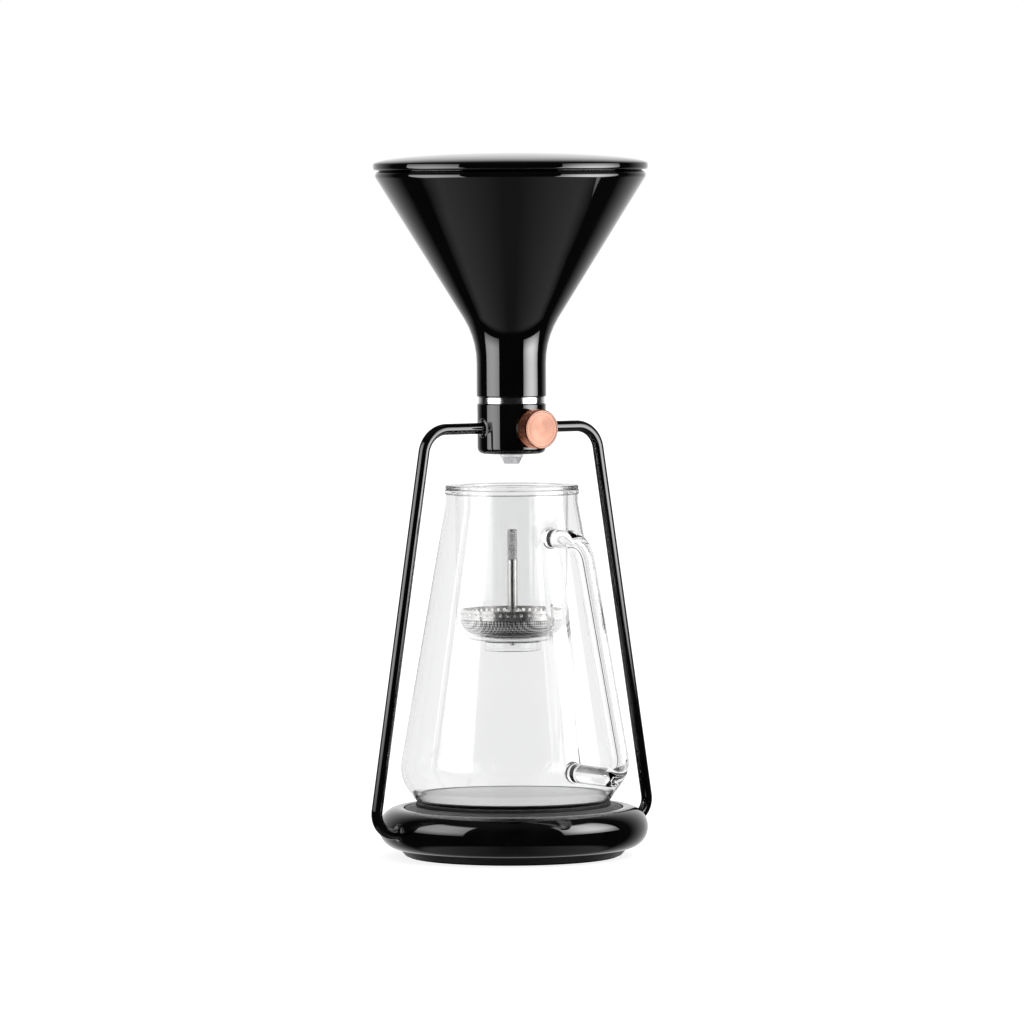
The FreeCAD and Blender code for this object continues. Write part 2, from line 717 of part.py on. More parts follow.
door_notch = common(
    "door_notch",
    turned_block(
        "door_notch_bar", (lug_reach + size.overrun) * 2,
        size.door_lug_width + size.door_notch_play * 2,
        size.cover_height, -size.door_offset, as_size(0), size.door_turn,
    ),
    cylinder(
        "door_notch_round", lug_reach + size.door_clearance, size.cover_height,
        x=-size.door_offset,
    ),
)
button_hole = cylinder(
    "button_hole", size.button_radius + size.button_clearance, size.cover_height,
    x=size.button_offset,
)
mat_seat = cylinder("mat_seat", size.mat_radius, size.mat_thickness)
cover_plate = cut("cover_plate", cover_shell, mat_seat, door_hole, door_notch, button_hole)

board_bottom = cover_inside + size.board_lift
board_top = board_bottom + size.board_thickness
board_places = [
    (
        size.board_offset + (size.board_length / 2 - size.board_inset) * side_x,
        (size.board_width / 2 - size.board_inset) * side_y,
    )
    for side_x in (-1, 1)
    for side_y in (-1, 1)
]
pillars = [
    cylinder(f"pillar_{i}", size.pillar_radius, size.board_lift, x, y, cover_inside)
    for i, (x, y) in enumerate(board_places)
]
board_screws = [
    pan_screw(
        f"board_screw_{i}", x, y, board_top, size.board_screw_head, size.board_screw_cap,
        size.board_screw_radius, size.board_screw_length,
    )
    for i, (x, y) in enumerate(board_places)
]
keep("board_screws", group("board_screws", board_screws))
keep(
    "bottom_cover",
    cut(
        "bottom_cover",
        fuse("cover_with_pillars", [cover_plate] + pillars),
        subparts["cover_screws"],
        subparts["board_screws"],
    ),
)

mat_disc = cylinder("mat_disc", size.mat_radius, size.mat_thickness)
door_window = cylinder(
    "door_window", lug_reach + size.window_margin, size.mat_thickness, x=-size.door_offset
)
button_window = cylinder(
    "button_window", size.button_radius + size.window_margin, size.mat_thickness,
    x=size.button_offset,
)
keep("base_mat", cut("base_mat", mat_disc, door_window, button_window))

door_top = cover_bottom + size.door_thickness
door_disc = cylinder(
    "door_disc", size.door_radius, size.door_thickness, x=-size.door_offset, z=cover_bottom
)
door_lugs = common(
    "door_lugs",
    block(
        "door_lug_bar", (lug_reach + size.overrun) * 2, size.door_lug_width, size.door_lug_height,
        -size.door_offset, 0, door_top - size.door_lug_height,
    ),
    cylinder(
        "door_lug_round", lug_reach, size.door_lug_height, x=-size.door_offset,
        z=door_top - size.door_lug_height,
    ),
)
door_slot = block(
    "door_slot", size.door_slot_length, size.door_slot_width, size.door_slot_depth,
    -size.door_offset, 0, cover_bottom,
)
keep("battery_door", cut("battery_door", fuse("door_blank", [door_disc, door_lugs]), door_slot))

coin_bottom = door_top + size.door_clearance
coins = [
    cylinder(
        f"coin_{i}", size.coin_radius, size.coin_height, x=-size.door_offset,
        z=coin_bottom + size.coin_height * i,
    )
    for i in range(COIN_CELLS)
]
keep("coin_cells", group("coin_cells", coins))
coin_top = coin_bottom + size.coin_height * COIN_CELLS
lug_room = lug_reach + size.door_clearance
holder = revolved(
    "holder_turned",
    [
        (lug_room, cover_inside),
        (lug_room + size.holder_wall, cover_inside),
        (lug_room + size.holder_wall, coin_top),
        (size.coin_radius + size.coin_play, coin_top),
        (size.coin_radius + size.coin_play, coin_bottom),
        (lug_room, coin_bottom),
    ],
)
holder.setExpression("Placement.Base.x", (-size.door_offset).formula)
keep("battery_holder", holder)

button_cap = cylinder(
    "button_cap", size.button_radius, cover_inside - cover_bottom, x=size.button_offset,
    z=cover_bottom,
)
button_flange = cylinder(
    "button_flange", size.button_flange_radius, size.button_flange_height,
    x=size.button_offset, z=cover_inside,
)
keep("power_button", fuse("power_button", [button_cap, button_flange]))

board_plate = block(
    "board_plate", size.board_length, size.board_width, size.board_thickness,
    size.board_offset, 0, board_bottom,
)
board_chip = block(
    "board_chip", size.chip_width, size.chip_width, size.chip_height,
    size.board_offset, 0, board_top,
)
key_switch = block(
    "key_switch", size.switch_width, size.switch_width, size.switch_height,
    size.button_offset, 0, board_bottom - size.switch_height,
)
keep(
    "circuit_board",
    cut(
        "circuit_board",
        fuse("board_blank", [board_plate, board_chip, key_switch]),
        subparts["board_screws"],
    ),
)


# Weighing gear: chassis plate, load cell between two spacers, carrier, platform and pad

chassis_radius = size.ring_bore_radius - size.chassis_play
fixed_x = size.cell_length / 2 - size.cell_screw_inset
cell_screws = [
    flat_screw("cell_screw_low", fixed_x, 0, ledge_top, "+Z"),
    flat_screw("cell_screw_high", -fixed_x, 0, carrier_top, "-Z"),
]
keep("load_cell_screws", group("load_cell_screws", cell_screws))
keep(
    "chassis_plate",
    cut(
        "chassis_plate",
        cylinder("chassis_disc", chassis_radius, size.chassis_thickness, z=ledge_top),
        cylinder(
            "wire_hole", size.wire_hole_radius, size.chassis_thickness,
            y=size.wire_hole_offset, z=ledge_top,
        ),
        subparts["chassis_screws"],
        subparts["load_cell_screws"],
    ),
)
spacer_center = (size.cell_length - size.spacer_length) / 2
spacer_blocks = [
    block(
        f"spacer_{level}", size.spacer_length, size.cell_width, size.spacer_thickness, x, 0, z
    )
    for level, x, z in (("low", spacer_center, chassis_top), ("high", -spacer_center, cell_top))
]
keep(
    "load_cell_spacers",
    cut(
        "load_cell_spacers", group("spacer_pair", spacer_blocks), subparts["load_cell_screws"]
    ),
)
cell_middle = cell_bottom + size.cell_height / 2
cell_eyes = [
    cylinder(
        f"cell_eye_{side}", size.cell_eye_radius, size.cell_width, size.cell_eye_pitch / 2 * way,
        size.cell_width / 2, cell_middle, "-Y",
    )
    for side, way in (("right", 1), ("left", -1))
]
cell_slot = block(
    "cell_slot", size.cell_eye_pitch, size.cell_width, size.cell_slot_height,
    0, 0, cell_middle - size.cell_slot_height / 2,
)
keep(
    "load_cell",
    cut(
        "load_cell",
        block("cell_beam", size.cell_length, size.cell_width, size.cell_height, 0, 0, cell_bottom),
        *cell_eyes,
        cell_slot,
        subparts["load_cell_screws"],
    ),
)
carrier_windows = [
    cylinder(
        f"carrier_window_{i}", size.carrier_window_radius, size.carrier_thickness, x, y,
        carrier_bottom,
    )
    for i, (x, y) in enumerate(around(CARRIER_WINDOWS, size.carrier_window_circle, DIAGONAL))
]
keep(
    "platform_carrier",
    cut(
        "platform_carrier",
        cylinder("carrier_disc", size.carrier_radius, size.carrier_thickness, z=carrier_bottom),
        *carrier_windows,
        subparts["load_cell_screws"],
    ),
)
platform_radius = size.ring_bore_radius - size.platform_gap
platform_rim = platform_top - size.platform_bevel_drop
skirt_radius = platform_radius - size.platform_skirt
keep(
    "platform",
    revolved(
        "platform",
        [
            (0, carrier_top),
            (skirt_radius, carrier_top),
            (skirt_radius, platform_top - size.platform_depth),
            (platform_radius, platform_top - size.platform_depth),
            (platform_radius, platform_rim),
            (platform_radius - size.platform_bevel_across, platform_top),
            (0, platform_top),
        ],
    ),
)
keep(
    "platform_pad",
    cylinder("platform_pad", size.pad_radius, size.pad_thickness, z=platform_top),
)


# Frame: two bent wires, each from the valve body down and back into the ring's side

def frame_wire(name):
    return bent_rod(
        name,
        "XZ_Plane",
        "YZ_Plane",
        (wire_start, size.arm_height),
        [
            (wire_start, size.arm_height),
            (size.arm_reach, size.arm_height, size.arm_bend),
            (leg_reach, ring_center, size.leg_bend),
            (wire_end, ring_center),
        ],
        size.wire_radius,
    )


right_leg = frame_wire("right_leg")
left_leg = frame_wire("left_leg")
left_leg.Placement = FreeCAD.Placement(
    FreeCAD.Vector(), FreeCAD.Rotation(FreeCAD.Vector(0, 0, 1), 180)
)
keep("right_leg", right_leg)
keep("left_leg", left_leg)


def weld_bead(name, surface_x, carrier, wire, height, way):
    """A cone round a wire end, from inside the piece that carries it to the wire, less both."""
    along = "+X" if way > 0 else "-X"
    root = size.weld_leg * 2
    blank = cone(
        f"{name}_cone",
        size.wire_radius + size.weld_leg * 2,
        size.wire_radius + size.weld_edge,
        size.weld_throat + root - size.weld_leg,
        (surface_x - root + size.weld_leg) * way,
        0,
        height,
        along,
    )
    return cut(name, blank, carrier, wire)


weld_beads = []
for side, leg, way in (("right", right_leg, 1), ("left", left_leg, -1)):
    weld_beads.append(
        weld_bead(
            f"valve_weld_{side}",
            size.valve_radius,
            cylinder(
                f"valve_weld_core_{side}", size.valve_radius,
                valve_top - valve_bottom, z=valve_bottom,
            ),
            leg,
            size.arm_height,
            way,
        )
    )
    weld_beads.append(
        weld_bead(
            f"ring_weld_{side}",
            ring_radius,
            torus(
                f"ring_weld_core_{side}", size.ring_circle_radius, size.ring_tube_radius,
                z=ring_center,
            ),
            leg,
            ring_center,
            way,
        )
    )
keep("weld_beads", group("weld_beads", weld_beads))


# Valve body: seat for the ferrule on top, cross bore for the plug, socket for the nozzle below

ferrule_seat = valve_top - size.ferrule_plug_depth - size.seat_seal_thickness
ferrule_bore = size.ferrule_plug_radius + size.ferrule_fit
nozzle_seat = valve_bottom + size.nozzle_socket_depth
valve_shell = revolved(
    "valve_shell",
    [
        (size.nozzle_socket_radius, valve_bottom),
        (size.valve_radius, valve_bottom, size.valve_bottom_round),
        (size.valve_radius, valve_top, size.valve_top_round),
        (ferrule_bore, valve_top),
        (ferrule_bore, ferrule_seat),
        (size.valve_passage_radius, ferrule_seat),
        (size.valve_passage_radius, nozzle_seat),
        (size.nozzle_socket_radius, nozzle_seat),
    ],
)
cross_bore = cylinder(
    "cross_bore", size.plug_bore_radius, size.plug_bore_depth + size.valve_radius + size.overrun,
    y=size.plug_bore_depth, z=size.arm_height, along="-Y",
)
gland_face = size.valve_radius - size.gland_depth
gland_bore = cylinder(
    "gland_bore", size.gland_radius, size.gland_depth + size.overrun, y=-gland_face,
    z=size.arm_height, along="-Y",
)
keep(
    "valve_body",
    cut(
        "valve_body",
        valve_shell,
        cross_bore,
        gland_bore,
        *wire_sockets("valve_socket", wire_start, size.arm_height),
    ),
)


# Plug, O-rings, packing nut, knob and its set screw, all on the knob's axis

plug_radius = size.plug_bore_radius - size.plug_clearance
plug_front = gland_face - size.plug_end_play
plug_back = size.plug_bore_depth - size.plug_end_play
spindle_end = size.knob_back + size.knob_length - size.knob_wall
plug_barrel = cylinder(
    "plug_barrel", plug_radius, plug_front + plug_back, y=plug_back, z=size.arm_height,
    along="-Y",
)
spindle_rod = cylinder(
    "spindle_rod", size.spindle_radius, spindle_end, z=size.arm_height, along="-Y"
)
plug_port = cylinder(
    "plug_port", size.plug_port_radius, size.plug_bore_radius * 2, -size.plug_bore_radius, 0,
    size.arm_height, "+X",
)
seal_circle = plug_radius - size.seal_wire_radius
grooves = []
seals = []
for side, y in (("front", -size.seal_offset_front), ("back", size.seal_offset_back)):
    groove_start = y + size.seal_groove / 2
    grooves.append(
        cut(
            f"groove_{side}",
            cylinder(
                f"groove_outer_{side}", size.plug_bore_radius, size.seal_groove,
                y=groove_start, z=size.arm_height, along="-Y",
            ),
            cylinder(
                f"groove_inner_{side}", seal_circle - size.seal_wire_radius, size.seal_groove,
                y=groove_start, z=size.arm_height, along="-Y",
            ),
        )
    )
    seals.append(
        torus(
            f"seal_{side}", seal_circle, size.seal_wire_radius, y=y, z=size.arm_height,
            along="-Y",
        )
    )
keep(
    "valve_spindle",
    cut("valve_spindle", fuse("spindle_blank", [plug_barrel, spindle_rod]), plug_port, *grooves),
)
keep("spindle_seals", group("spindle_seals", seals))

gland_thread = cylinder(
    "gland_thread", size.gland_radius, size.gland_depth, y=-gland_face, z=size.arm_height,
    along="-Y",
)
gland_collar = cylinder(
    "gland_collar", size.gland_collar_radius, size.knob_back - size.knob_play - gland_face,
    y=-gland_face, z=size.arm_height, along="-Y",
)
gland_hole = cylinder(
    "gland_hole", size.spindle_radius + size.spindle_clearance, size.knob_back,
    y=-gland_face + size.overrun, z=size.arm_height, along="-Y",
)
gland_round = cylinder(
    "gland_round", size.valve_radius, valve_top - valve_bottom, z=valve_bottom
)
gland_inside = common("gland_inside", gland_thread, gland_round)
keep(
    "packing_nut",
    cut("packing_nut", fuse("gland_blank", [gland_inside, gland_collar]), gland_hole),
)

set_screw_y = -size.knob_back - size.set_screw_radius - size.knob_wall / 2
set_screw = cylinder(
    "knob_set_screw", size.set_screw_radius, size.set_screw_length,
    y=set_screw_y, z=size.arm_height - size.spindle_radius, along="-Z",
)
keep("knob_set_screw", set_screw)
knob_front = size.knob_back + size.knob_length
knob_blank = fuse(
    "knob_blank",
    [
        cylinder(
            "knob_barrel", size.knob_radius, size.knob_length - size.knob_chamfer,
            y=-size.knob_back, z=size.arm_height, along="-Y",
        ),
        cone(
            "knob_face", size.knob_radius, size.knob_radius - size.knob_chamfer,
            size.knob_chamfer, y=-knob_front + size.knob_chamfer, z=size.arm_height,
            along="-Y",
        ),
    ],
)
knob_hole = cylinder(
    "knob_hole", size.spindle_radius, spindle_end, z=size.arm_height, along="-Y"
)
set_screw_hole = cylinder(
    "set_screw_hole", size.set_screw_radius, size.knob_radius, y=set_screw_y,
    z=size.arm_height, along="-Z",
)
keep("knob", cut("knob", knob_blank, knob_hole, set_screw_hole))

nozzle_neck = size.nozzle_socket_radius - size.nozzle_fit
flange_bottom = valve_bottom - size.nozzle_flange_height
nozzle_tip = flange_bottom - size.nozzle_cone_height
keep(
    "drip_nozzle",
    revolved(
        "drip_nozzle",
        [
            (size.nozzle_bore_radius, nozzle_tip),
            (size.nozzle_tip_radius, nozzle_tip),
            (size.nozzle_cone_radius, flange_bottom),
            (size.nozzle_flange_radius, flange_bottom),
            (size.nozzle_flange_radius, valve_bottom),
            (nozzle_neck, valve_bottom),
            (nozzle_neck, nozzle_seat),
            (size.nozzle_bore_radius, nozzle_seat),
        ],
    ),
)


# Funnel with its steel ferrule, the seal under it, and the lid

keep(
    "funnel_seal",
    revolved(
        "funnel_seal",
        [
            (size.funnel_bore_radius, ferrule_seat),
            (size.ferrule_plug_radius, ferrule_seat),
            (size.ferrule_plug_radius, ferrule_seat + size.seat_seal_thickness),
            (size.funnel_bore_radius, ferrule_seat + size.seat_seal_thickness),
        ],
    ),
)
keep(
    "funnel_ferrule",
    revolved(
        "funnel_ferrule",
        [
            (size.funnel_bore_radius, valve_top - size.ferrule_plug_depth),
            (size.ferrule_plug_radius, valve_top - size.ferrule_plug_depth),
            (size.ferrule_plug_radius, valve_top),
            (size.ferrule_radius, valve_top, size.ferrule_edge_round),
            (size.ferrule_radius, ferrule_top, size.ferrule_edge_round),
            (size.ferrule_neck_radius, ferrule_top),
            (size.ferrule_neck_radius, ferrule_top + size.ferrule_neck_height),
            (size.funnel_bore_radius, ferrule_top + size.ferrule_neck_height),
        ],
    ),
)
neck_bore = size.ferrule_neck_radius + size.ferrule_fit
neck_seat = ferrule_top + size.ferrule_neck_height + size.ferrule_fit
cone_slope = (size.funnel_mouth_radius - size.funnel_neck_radius) / size.funnel_cone_height
wall_across = size.funnel_wall * (cone_slope * cone_slope + 1).root()
mouth_inner = size.funnel_mouth_radius - wall_across
throat_height = funnel_top - (mouth_inner - size.funnel_bore_radius) / cone_slope
keep(
    "funnel",
    revolved(
        "funnel",
        [
            (neck_bore, ferrule_top),
            (size.funnel_neck_radius, ferrule_top, size.funnel_foot_round),
            (size.funnel_neck_radius, funnel_bend, size.funnel_neck_blend),
            (size.funnel_mouth_radius, funnel_top, size.funnel_rim_round),
            (mouth_inner, funnel_top, size.funnel_lip_round),
            (size.funnel_bore_radius, throat_height, size.funnel_throat_blend),
            (size.funnel_bore_radius, neck_seat),
            (neck_bore, neck_seat),
        ],
    ),
)

lip_bottom = funnel_top - size.lid_lip_depth
lip_inner = size.lid_lip_radius - size.lid_lip_wall
lid_plate = revolved(
    "lid_plate",
    [
        (0, funnel_top + size.lid_hollow),
        (lip_inner, funnel_top + size.lid_hollow),
        (lip_inner, lip_bottom),
        (size.lid_lip_radius, lip_bottom),
        (size.lid_lip_radius, funnel_top),
        (size.lid_seat_radius, funnel_top),
        (size.lid_seat_radius, lid_edge_bottom),
        (size.lid_radius, lid_edge_bottom, size.lid_edge_round),
        (size.lid_radius, lid_edge_top),
        (0, lid_edge_top),
    ],
)
lid_dome = doc.addObject("Part::Ellipsoid", "lid_dome")
bind(lid_dome, Radius1=size.lid_dome_height, Radius2=size.lid_radius, Radius3=size.lid_radius)
lid_dome.Angle1 = 0
lid_dome.Angle2 = 90
place(lid_dome, z=lid_edge_top)
keep("lid", fuse("lid", [lid_plate, lid_dome]))


# Pitcher: one blown glass with a bent glass rod melted on as its handle

foot = (size.pitcher_foot_radius, pad_top)
belly = (size.pitcher_belly_radius, pad_top + size.pitcher_belly_height)
neck = (size.pitcher_neck_radius, pad_top + size.pitcher_neck_height)
bead_bottom = pitcher_rim - size.pitcher_rim_height
above_neck = (size.pitcher_neck_radius, bead_bottom)
foot_start = (as_size(0), pad_top)
wall = size.pitcher_wall
glass_outside = revolved(
    "glass_outside",
    [
        (0, pad_top),
        (*foot, size.pitcher_foot_round),
        (*belly, size.pitcher_belly_round),
        (*neck, size.pitcher_neck_round),
        above_neck,
        (size.pitcher_rim_radius, bead_bottom, size.pitcher_bead_round),
        (size.pitcher_rim_radius, pitcher_rim, size.pitcher_rim_round),
        (0, pitcher_rim),
    ],
)
neck_inner = size.pitcher_neck_radius - wall
glass_inside = revolved(
    "glass_inside",
    [
        (0, pad_top + wall),
        (*inset(foot_start, foot, belly, wall), size.pitcher_floor_round),
        (*inset(foot, belly, neck, wall), size.pitcher_belly_round - wall),
        (*inset(belly, neck, above_neck, wall), size.pitcher_neck_round + wall),
        (neck_inner, pitcher_rim + size.overrun),
        (0, pitcher_rim + size.overrun),
    ],
)
handle_rod = bent_rod(
    "handle_rod",
    "YZ_Plane",
    "XZ_Plane",
    (size.handle_root, pad_top + size.handle_top_height),
    [
        (-size.handle_root, pad_top + size.handle_top_height),
        (-size.handle_top_reach, pad_top + size.handle_top_height, size.handle_top_bend),
        (-size.handle_foot_reach, pad_top + size.handle_foot_height, size.handle_foot_bend),
        (-size.handle_root, pad_top + size.handle_foot_height),
    ],
    size.handle_radius,
)
keep("pitcher", cut("pitcher", fuse("glass_blank", [glass_outside, handle_rod]), glass_inside))


# Drip insert: a glass that hangs in the pitcher's mouth, with a short outlet below

insert_inner = size.insert_radius - size.insert_wall
outlet_inner = size.outlet_radius - size.insert_wall
outlet_bottom = insert_bottom - size.outlet_length
keep(
    "drip_insert",
    revolved(
        "drip_insert",
        [
            (outlet_inner, outlet_bottom),
            (size.outlet_radius, outlet_bottom),
            (size.outlet_radius, insert_bottom, size.outlet_round),
            (size.insert_radius, insert_bottom, size.insert_corner),
            (size.insert_radius, pitcher_rim, size.insert_throat_round),
            (size.insert_flange_radius, pitcher_rim, size.insert_hem_round),
            (size.insert_flange_radius, flange_top, size.insert_flange_round),
            (insert_inner, flange_top, size.insert_mouth_round),
            (insert_inner, insert_floor, size.insert_corner - size.insert_wall),
            (outlet_inner, insert_floor, size.outlet_round),
        ],
    ),
)


# Filter: seal, mesh dish, perforated cup, and the stem that lifts it out

keep(
    "filter_seal",
    revolved(
        "filter_seal",
        [
            (size.filter_seal_inner, insert_floor),
            (size.filter_seal_outer, insert_floor),
            (size.filter_seal_outer, mesh_bottom),
            (size.filter_seal_inner, mesh_bottom),
        ],
    ),
)
mesh_inner = size.filter_radius - size.mesh_thickness
keep(
    "filter_mesh",
    revolved(
        "filter_mesh",
        [
            (size.stem_rod_radius, mesh_bottom),
            (size.filter_radius, mesh_bottom, size.filter_corner),
            (size.filter_radius, mesh_top),
            (mesh_inner, mesh_top),
            (mesh_inner, mesh_bottom + size.mesh_thickness, size.filter_corner - size.mesh_thickness),
            (size.stem_rod_radius, mesh_bottom + size.mesh_thickness),
        ],
    ),
)
band_top = plate_top + size.band_height
cup_inner = size.filter_radius - size.plate_thickness
cup_shell = revolved(
    "cup_shell",
    [
        (size.stem_rod_radius, mesh_top),
        (size.filter_radius, mesh_top),
        (size.filter_radius, band_top),
        (cup_inner, band_top),
        (cup_inner, plate_top),
        (size.stem_rod_radius, plate_top),
    ],
)
band_hole_depth = size.plate_thickness * 2
band_holes = []
for i, (x, y) in enumerate(around(BAND_HOLES, cup_inner - size.plate_thickness / 2)):
    hole = cylinder(
        f"band_hole_{i}", size.band_hole_radius, band_hole_depth, x, y,
        plate_top + size.band_height / 2,
    )
    outwards = FreeCAD.Rotation(FreeCAD.Vector(0, 0, 1), 360 * i / BAND_HOLES)
    hole.Placement.Rotation = outwards * TURNS["+X"]
    band_holes.append(hole)
plate_holes = []
for ring in range(PLATE_RINGS):
    ring_radius = size.collar_radius + size.plate_hole_pitch * (ring + 0.5)
    for i, (x, y) in enumerate(around(PLATE_HOLES * (ring + 1), ring_radius)):
        plate_holes.append(
            cylinder(
                f"plate_hole_{ring}_{i}", size.plate_hole_radius, size.plate_thickness, x, y,
                mesh_top,
            )
        )
keep("filter_cup", cut("filter_cup", cup_shell, *band_holes, *plate_holes))

rod_bottom = nut_bottom - size.stem_rod_tail
keep(
    "filter_stem",
    revolved(
        "filter_stem",
        [
            (0, rod_bottom),
            (size.stem_rod_radius, rod_bottom),
            (size.stem_rod_radius, collar_top),
            (size.stem_radius, collar_top),
            (size.stem_radius, stem_top),
            (size.stem_stub_radius, stem_top),
            (size.stem_stub_radius, stem_top + size.stem_stub_length),
            (0, stem_top + size.stem_stub_length),
        ],
    ),
)
grip_top = stem_top + size.grip_length
keep(
    "stem_grip",
    revolved(
        "stem_grip",
        [
            (size.stem_stub_radius, stem_top),
            (size.grip_radius, stem_top),
            (size.grip_radius, grip_top, size.grip_round),
            (0, grip_top),
            (0, stem_top + size.stem_stub_length),
            (size.stem_stub_radius, stem_top + size.stem_stub_length),
        ],
    ),
)
keep(
    "stem_collar",
    revolved(
        "stem_collar",
        [
            (size.stem_rod_radius, plate_top),
            (size.collar_radius, plate_top),
            (size.collar_radius, collar_top),
            (size.stem_rod_radius, collar_top),
        ],
    ),
)
keep(
    "stem_washer",
    revolved(
        "stem_washer",
        [
            (size.stem_rod_radius, washer_bottom),
            (size.washer_radius, washer_bottom),
            (size.washer_radius, mesh_bottom),
            (size.stem_rod_radius, mesh_bottom),
        ],
    ),
)
nut_blank = doc.addObject("Part::Prism", "nut_blank")
nut_blank.Polygon = 6
bind(nut_blank, Circumradius=size.nut_radius, Height=size.nut_height)
place(nut_blank, z=nut_bottom)
keep(
    "stem_nut",
    cut(
        "stem_nut",
        nut_blank,
        cylinder("nut_thread", size.stem_rod_radius, size.nut_height, z=nut_bottom),
    ),
)


# Build everything, check it, and write one file for each piece

doc.recompute()
broken = [
    f"{thing.Name}: {thing.State}"
    for thing in doc.Objects
    if "Invalid" in thing.State or "Error" in thing.State
]
for name, thing in subparts.items():
    if thing.Shape.isNull() or not thing.Shape.isValid():
        broken.append(f"{name}: its shape is not a valid solid")
    elif not thing.Shape.Solids:
        broken.append(f"{name}: it holds no solid")
if broken:
    raise SystemExit("\n".join(broken))

os.makedirs("parts", exist_ok=True)
for name, thing in subparts.items():
    thing.Shape.exportStep(f"parts/{name}.step")
    volume = thing.Shape.Volume / CUBIC_CM
    print(f"{name}: {len(thing.Shape.Solids)} solid(s), {volume:.3f} cm3")
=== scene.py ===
# %% [markdown]
# # A cold brew coffee maker, dressed for its picture
#
# The real object is a black glazed funnel over a steel and glass drip stand. The construction model
# already holds every piece at its size, so this lesson only adds what a construction model lacks: smooth
# surfaces that carry long reflections, and finishes that are worked out instead of painted.
#
# A scene could start from nothing, but then nothing would fit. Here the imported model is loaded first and
# never changed. Its corners are kept, because the dressed object may not grow past them.

# %% Load the construction model
import math

import bpy
import numpy as np
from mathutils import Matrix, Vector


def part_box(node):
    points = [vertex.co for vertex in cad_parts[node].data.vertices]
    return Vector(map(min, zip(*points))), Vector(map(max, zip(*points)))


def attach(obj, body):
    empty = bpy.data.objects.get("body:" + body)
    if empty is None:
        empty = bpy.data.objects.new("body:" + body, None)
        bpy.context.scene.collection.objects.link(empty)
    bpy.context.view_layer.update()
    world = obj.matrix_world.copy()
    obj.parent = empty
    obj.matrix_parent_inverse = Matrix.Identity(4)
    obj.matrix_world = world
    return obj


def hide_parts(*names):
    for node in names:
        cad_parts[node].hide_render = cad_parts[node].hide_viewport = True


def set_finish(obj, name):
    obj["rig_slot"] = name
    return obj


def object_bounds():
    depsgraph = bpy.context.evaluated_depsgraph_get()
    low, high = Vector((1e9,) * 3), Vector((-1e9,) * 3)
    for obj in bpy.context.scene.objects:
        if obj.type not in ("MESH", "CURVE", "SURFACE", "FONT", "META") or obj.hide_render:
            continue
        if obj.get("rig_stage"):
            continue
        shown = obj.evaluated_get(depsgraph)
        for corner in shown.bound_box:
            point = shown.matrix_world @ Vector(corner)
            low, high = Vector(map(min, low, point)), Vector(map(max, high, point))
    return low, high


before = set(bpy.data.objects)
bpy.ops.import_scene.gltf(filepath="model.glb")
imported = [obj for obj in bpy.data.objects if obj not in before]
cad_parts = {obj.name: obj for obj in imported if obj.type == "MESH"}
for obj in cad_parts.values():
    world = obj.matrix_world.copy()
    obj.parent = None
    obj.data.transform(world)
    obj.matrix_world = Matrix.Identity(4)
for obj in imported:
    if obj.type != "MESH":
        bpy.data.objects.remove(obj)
cad_low, cad_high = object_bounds()
print("construction model, mm:", [round(1000 * (b - a), 1) for a, b in zip(cad_low, cad_high)])

# %% [markdown]
# ## Three tools for shapes
#
# Nearly every piece of this object is turned, blown or bent, so nearly every piece is a grid of points:
# rows along it, columns round it. `skin` makes such a grid a closed mesh. It also stores the exact normal
# of each point, because gloss shows a wrong normal long before the eye sees a wrong shape.
#
# A turned piece is drawn as half of its section. Real edges are never sharp, so `outline` rounds each
# corner of the drawing by an arc, and puts a row just past each arc so that flat walls stay flat.

# %% A mesh from a grid of points
MM = 0.001


def skin(name, rows, normals, ring=False):
    """A mesh from a grid of points in millimetres, shape (rows, columns, 3).

    Each face joins four neighbours, and the last column is joined to the first. In a ring the last row is
    joined to the first too, or else the first and the last row shrink to one point each.
    """
    columns = rows.shape[1]
    body, facing = (rows, normals) if ring else (rows[1:-1], normals[1:-1])
    points, directions = body.reshape(-1, 3), facing.reshape(-1, 3)
    i = np.arange(len(body) if ring else len(body) - 1)[:, None]
    j = np.arange(columns)
    beside = (j + 1) % columns
    here, after = i * columns, (i + 1) % len(body) * columns
    quads = np.stack([here + j, here + beside, after + beside, after + j], axis=-1)
    faces = quads.reshape(-1, 4).tolist()
    if not ring:
        end = (len(body) - 1) * columns
        tips = np.full((2, columns), len(points)) + [[0], [1]]
        faces += np.stack([tips[0], beside, j], axis=-1).tolist()
        faces += np.stack([tips[1], j + end, beside + end], axis=-1).tolist()
        points = np.vstack([points, rows[[0, -1]].mean(axis=1)])
        directions = np.vstack([directions, normals[[0, -1]].mean(axis=1)])
    mesh = bpy.data.meshes.new(name)
    mesh.from_pydata((points * MM).tolist(), [], faces)
    mesh.shade_smooth()
    length = np.linalg.norm(directions, axis=1, keepdims=True)
    mesh.normals_split_custom_set_from_vertices((directions / np.maximum(length, 1e-9)).tolist())
    piece = bpy.data.objects.new(name, mesh)
    bpy.context.scene.collection.objects.link(piece)
    print(f"{name}: {len(points)} points, {len(faces)} faces")
    return piece


# %% A rounded outline
EDGE = 0.15  # mm, the break on an edge that looks sharp
GUARD = 0.2  # mm, how far past an arc the guard row lies
ARC_STEP = math.radians(6)


def unit(vector):
    return vector / np.maximum(np.linalg.norm(vector, axis=-1, keepdims=True), 1e-12)


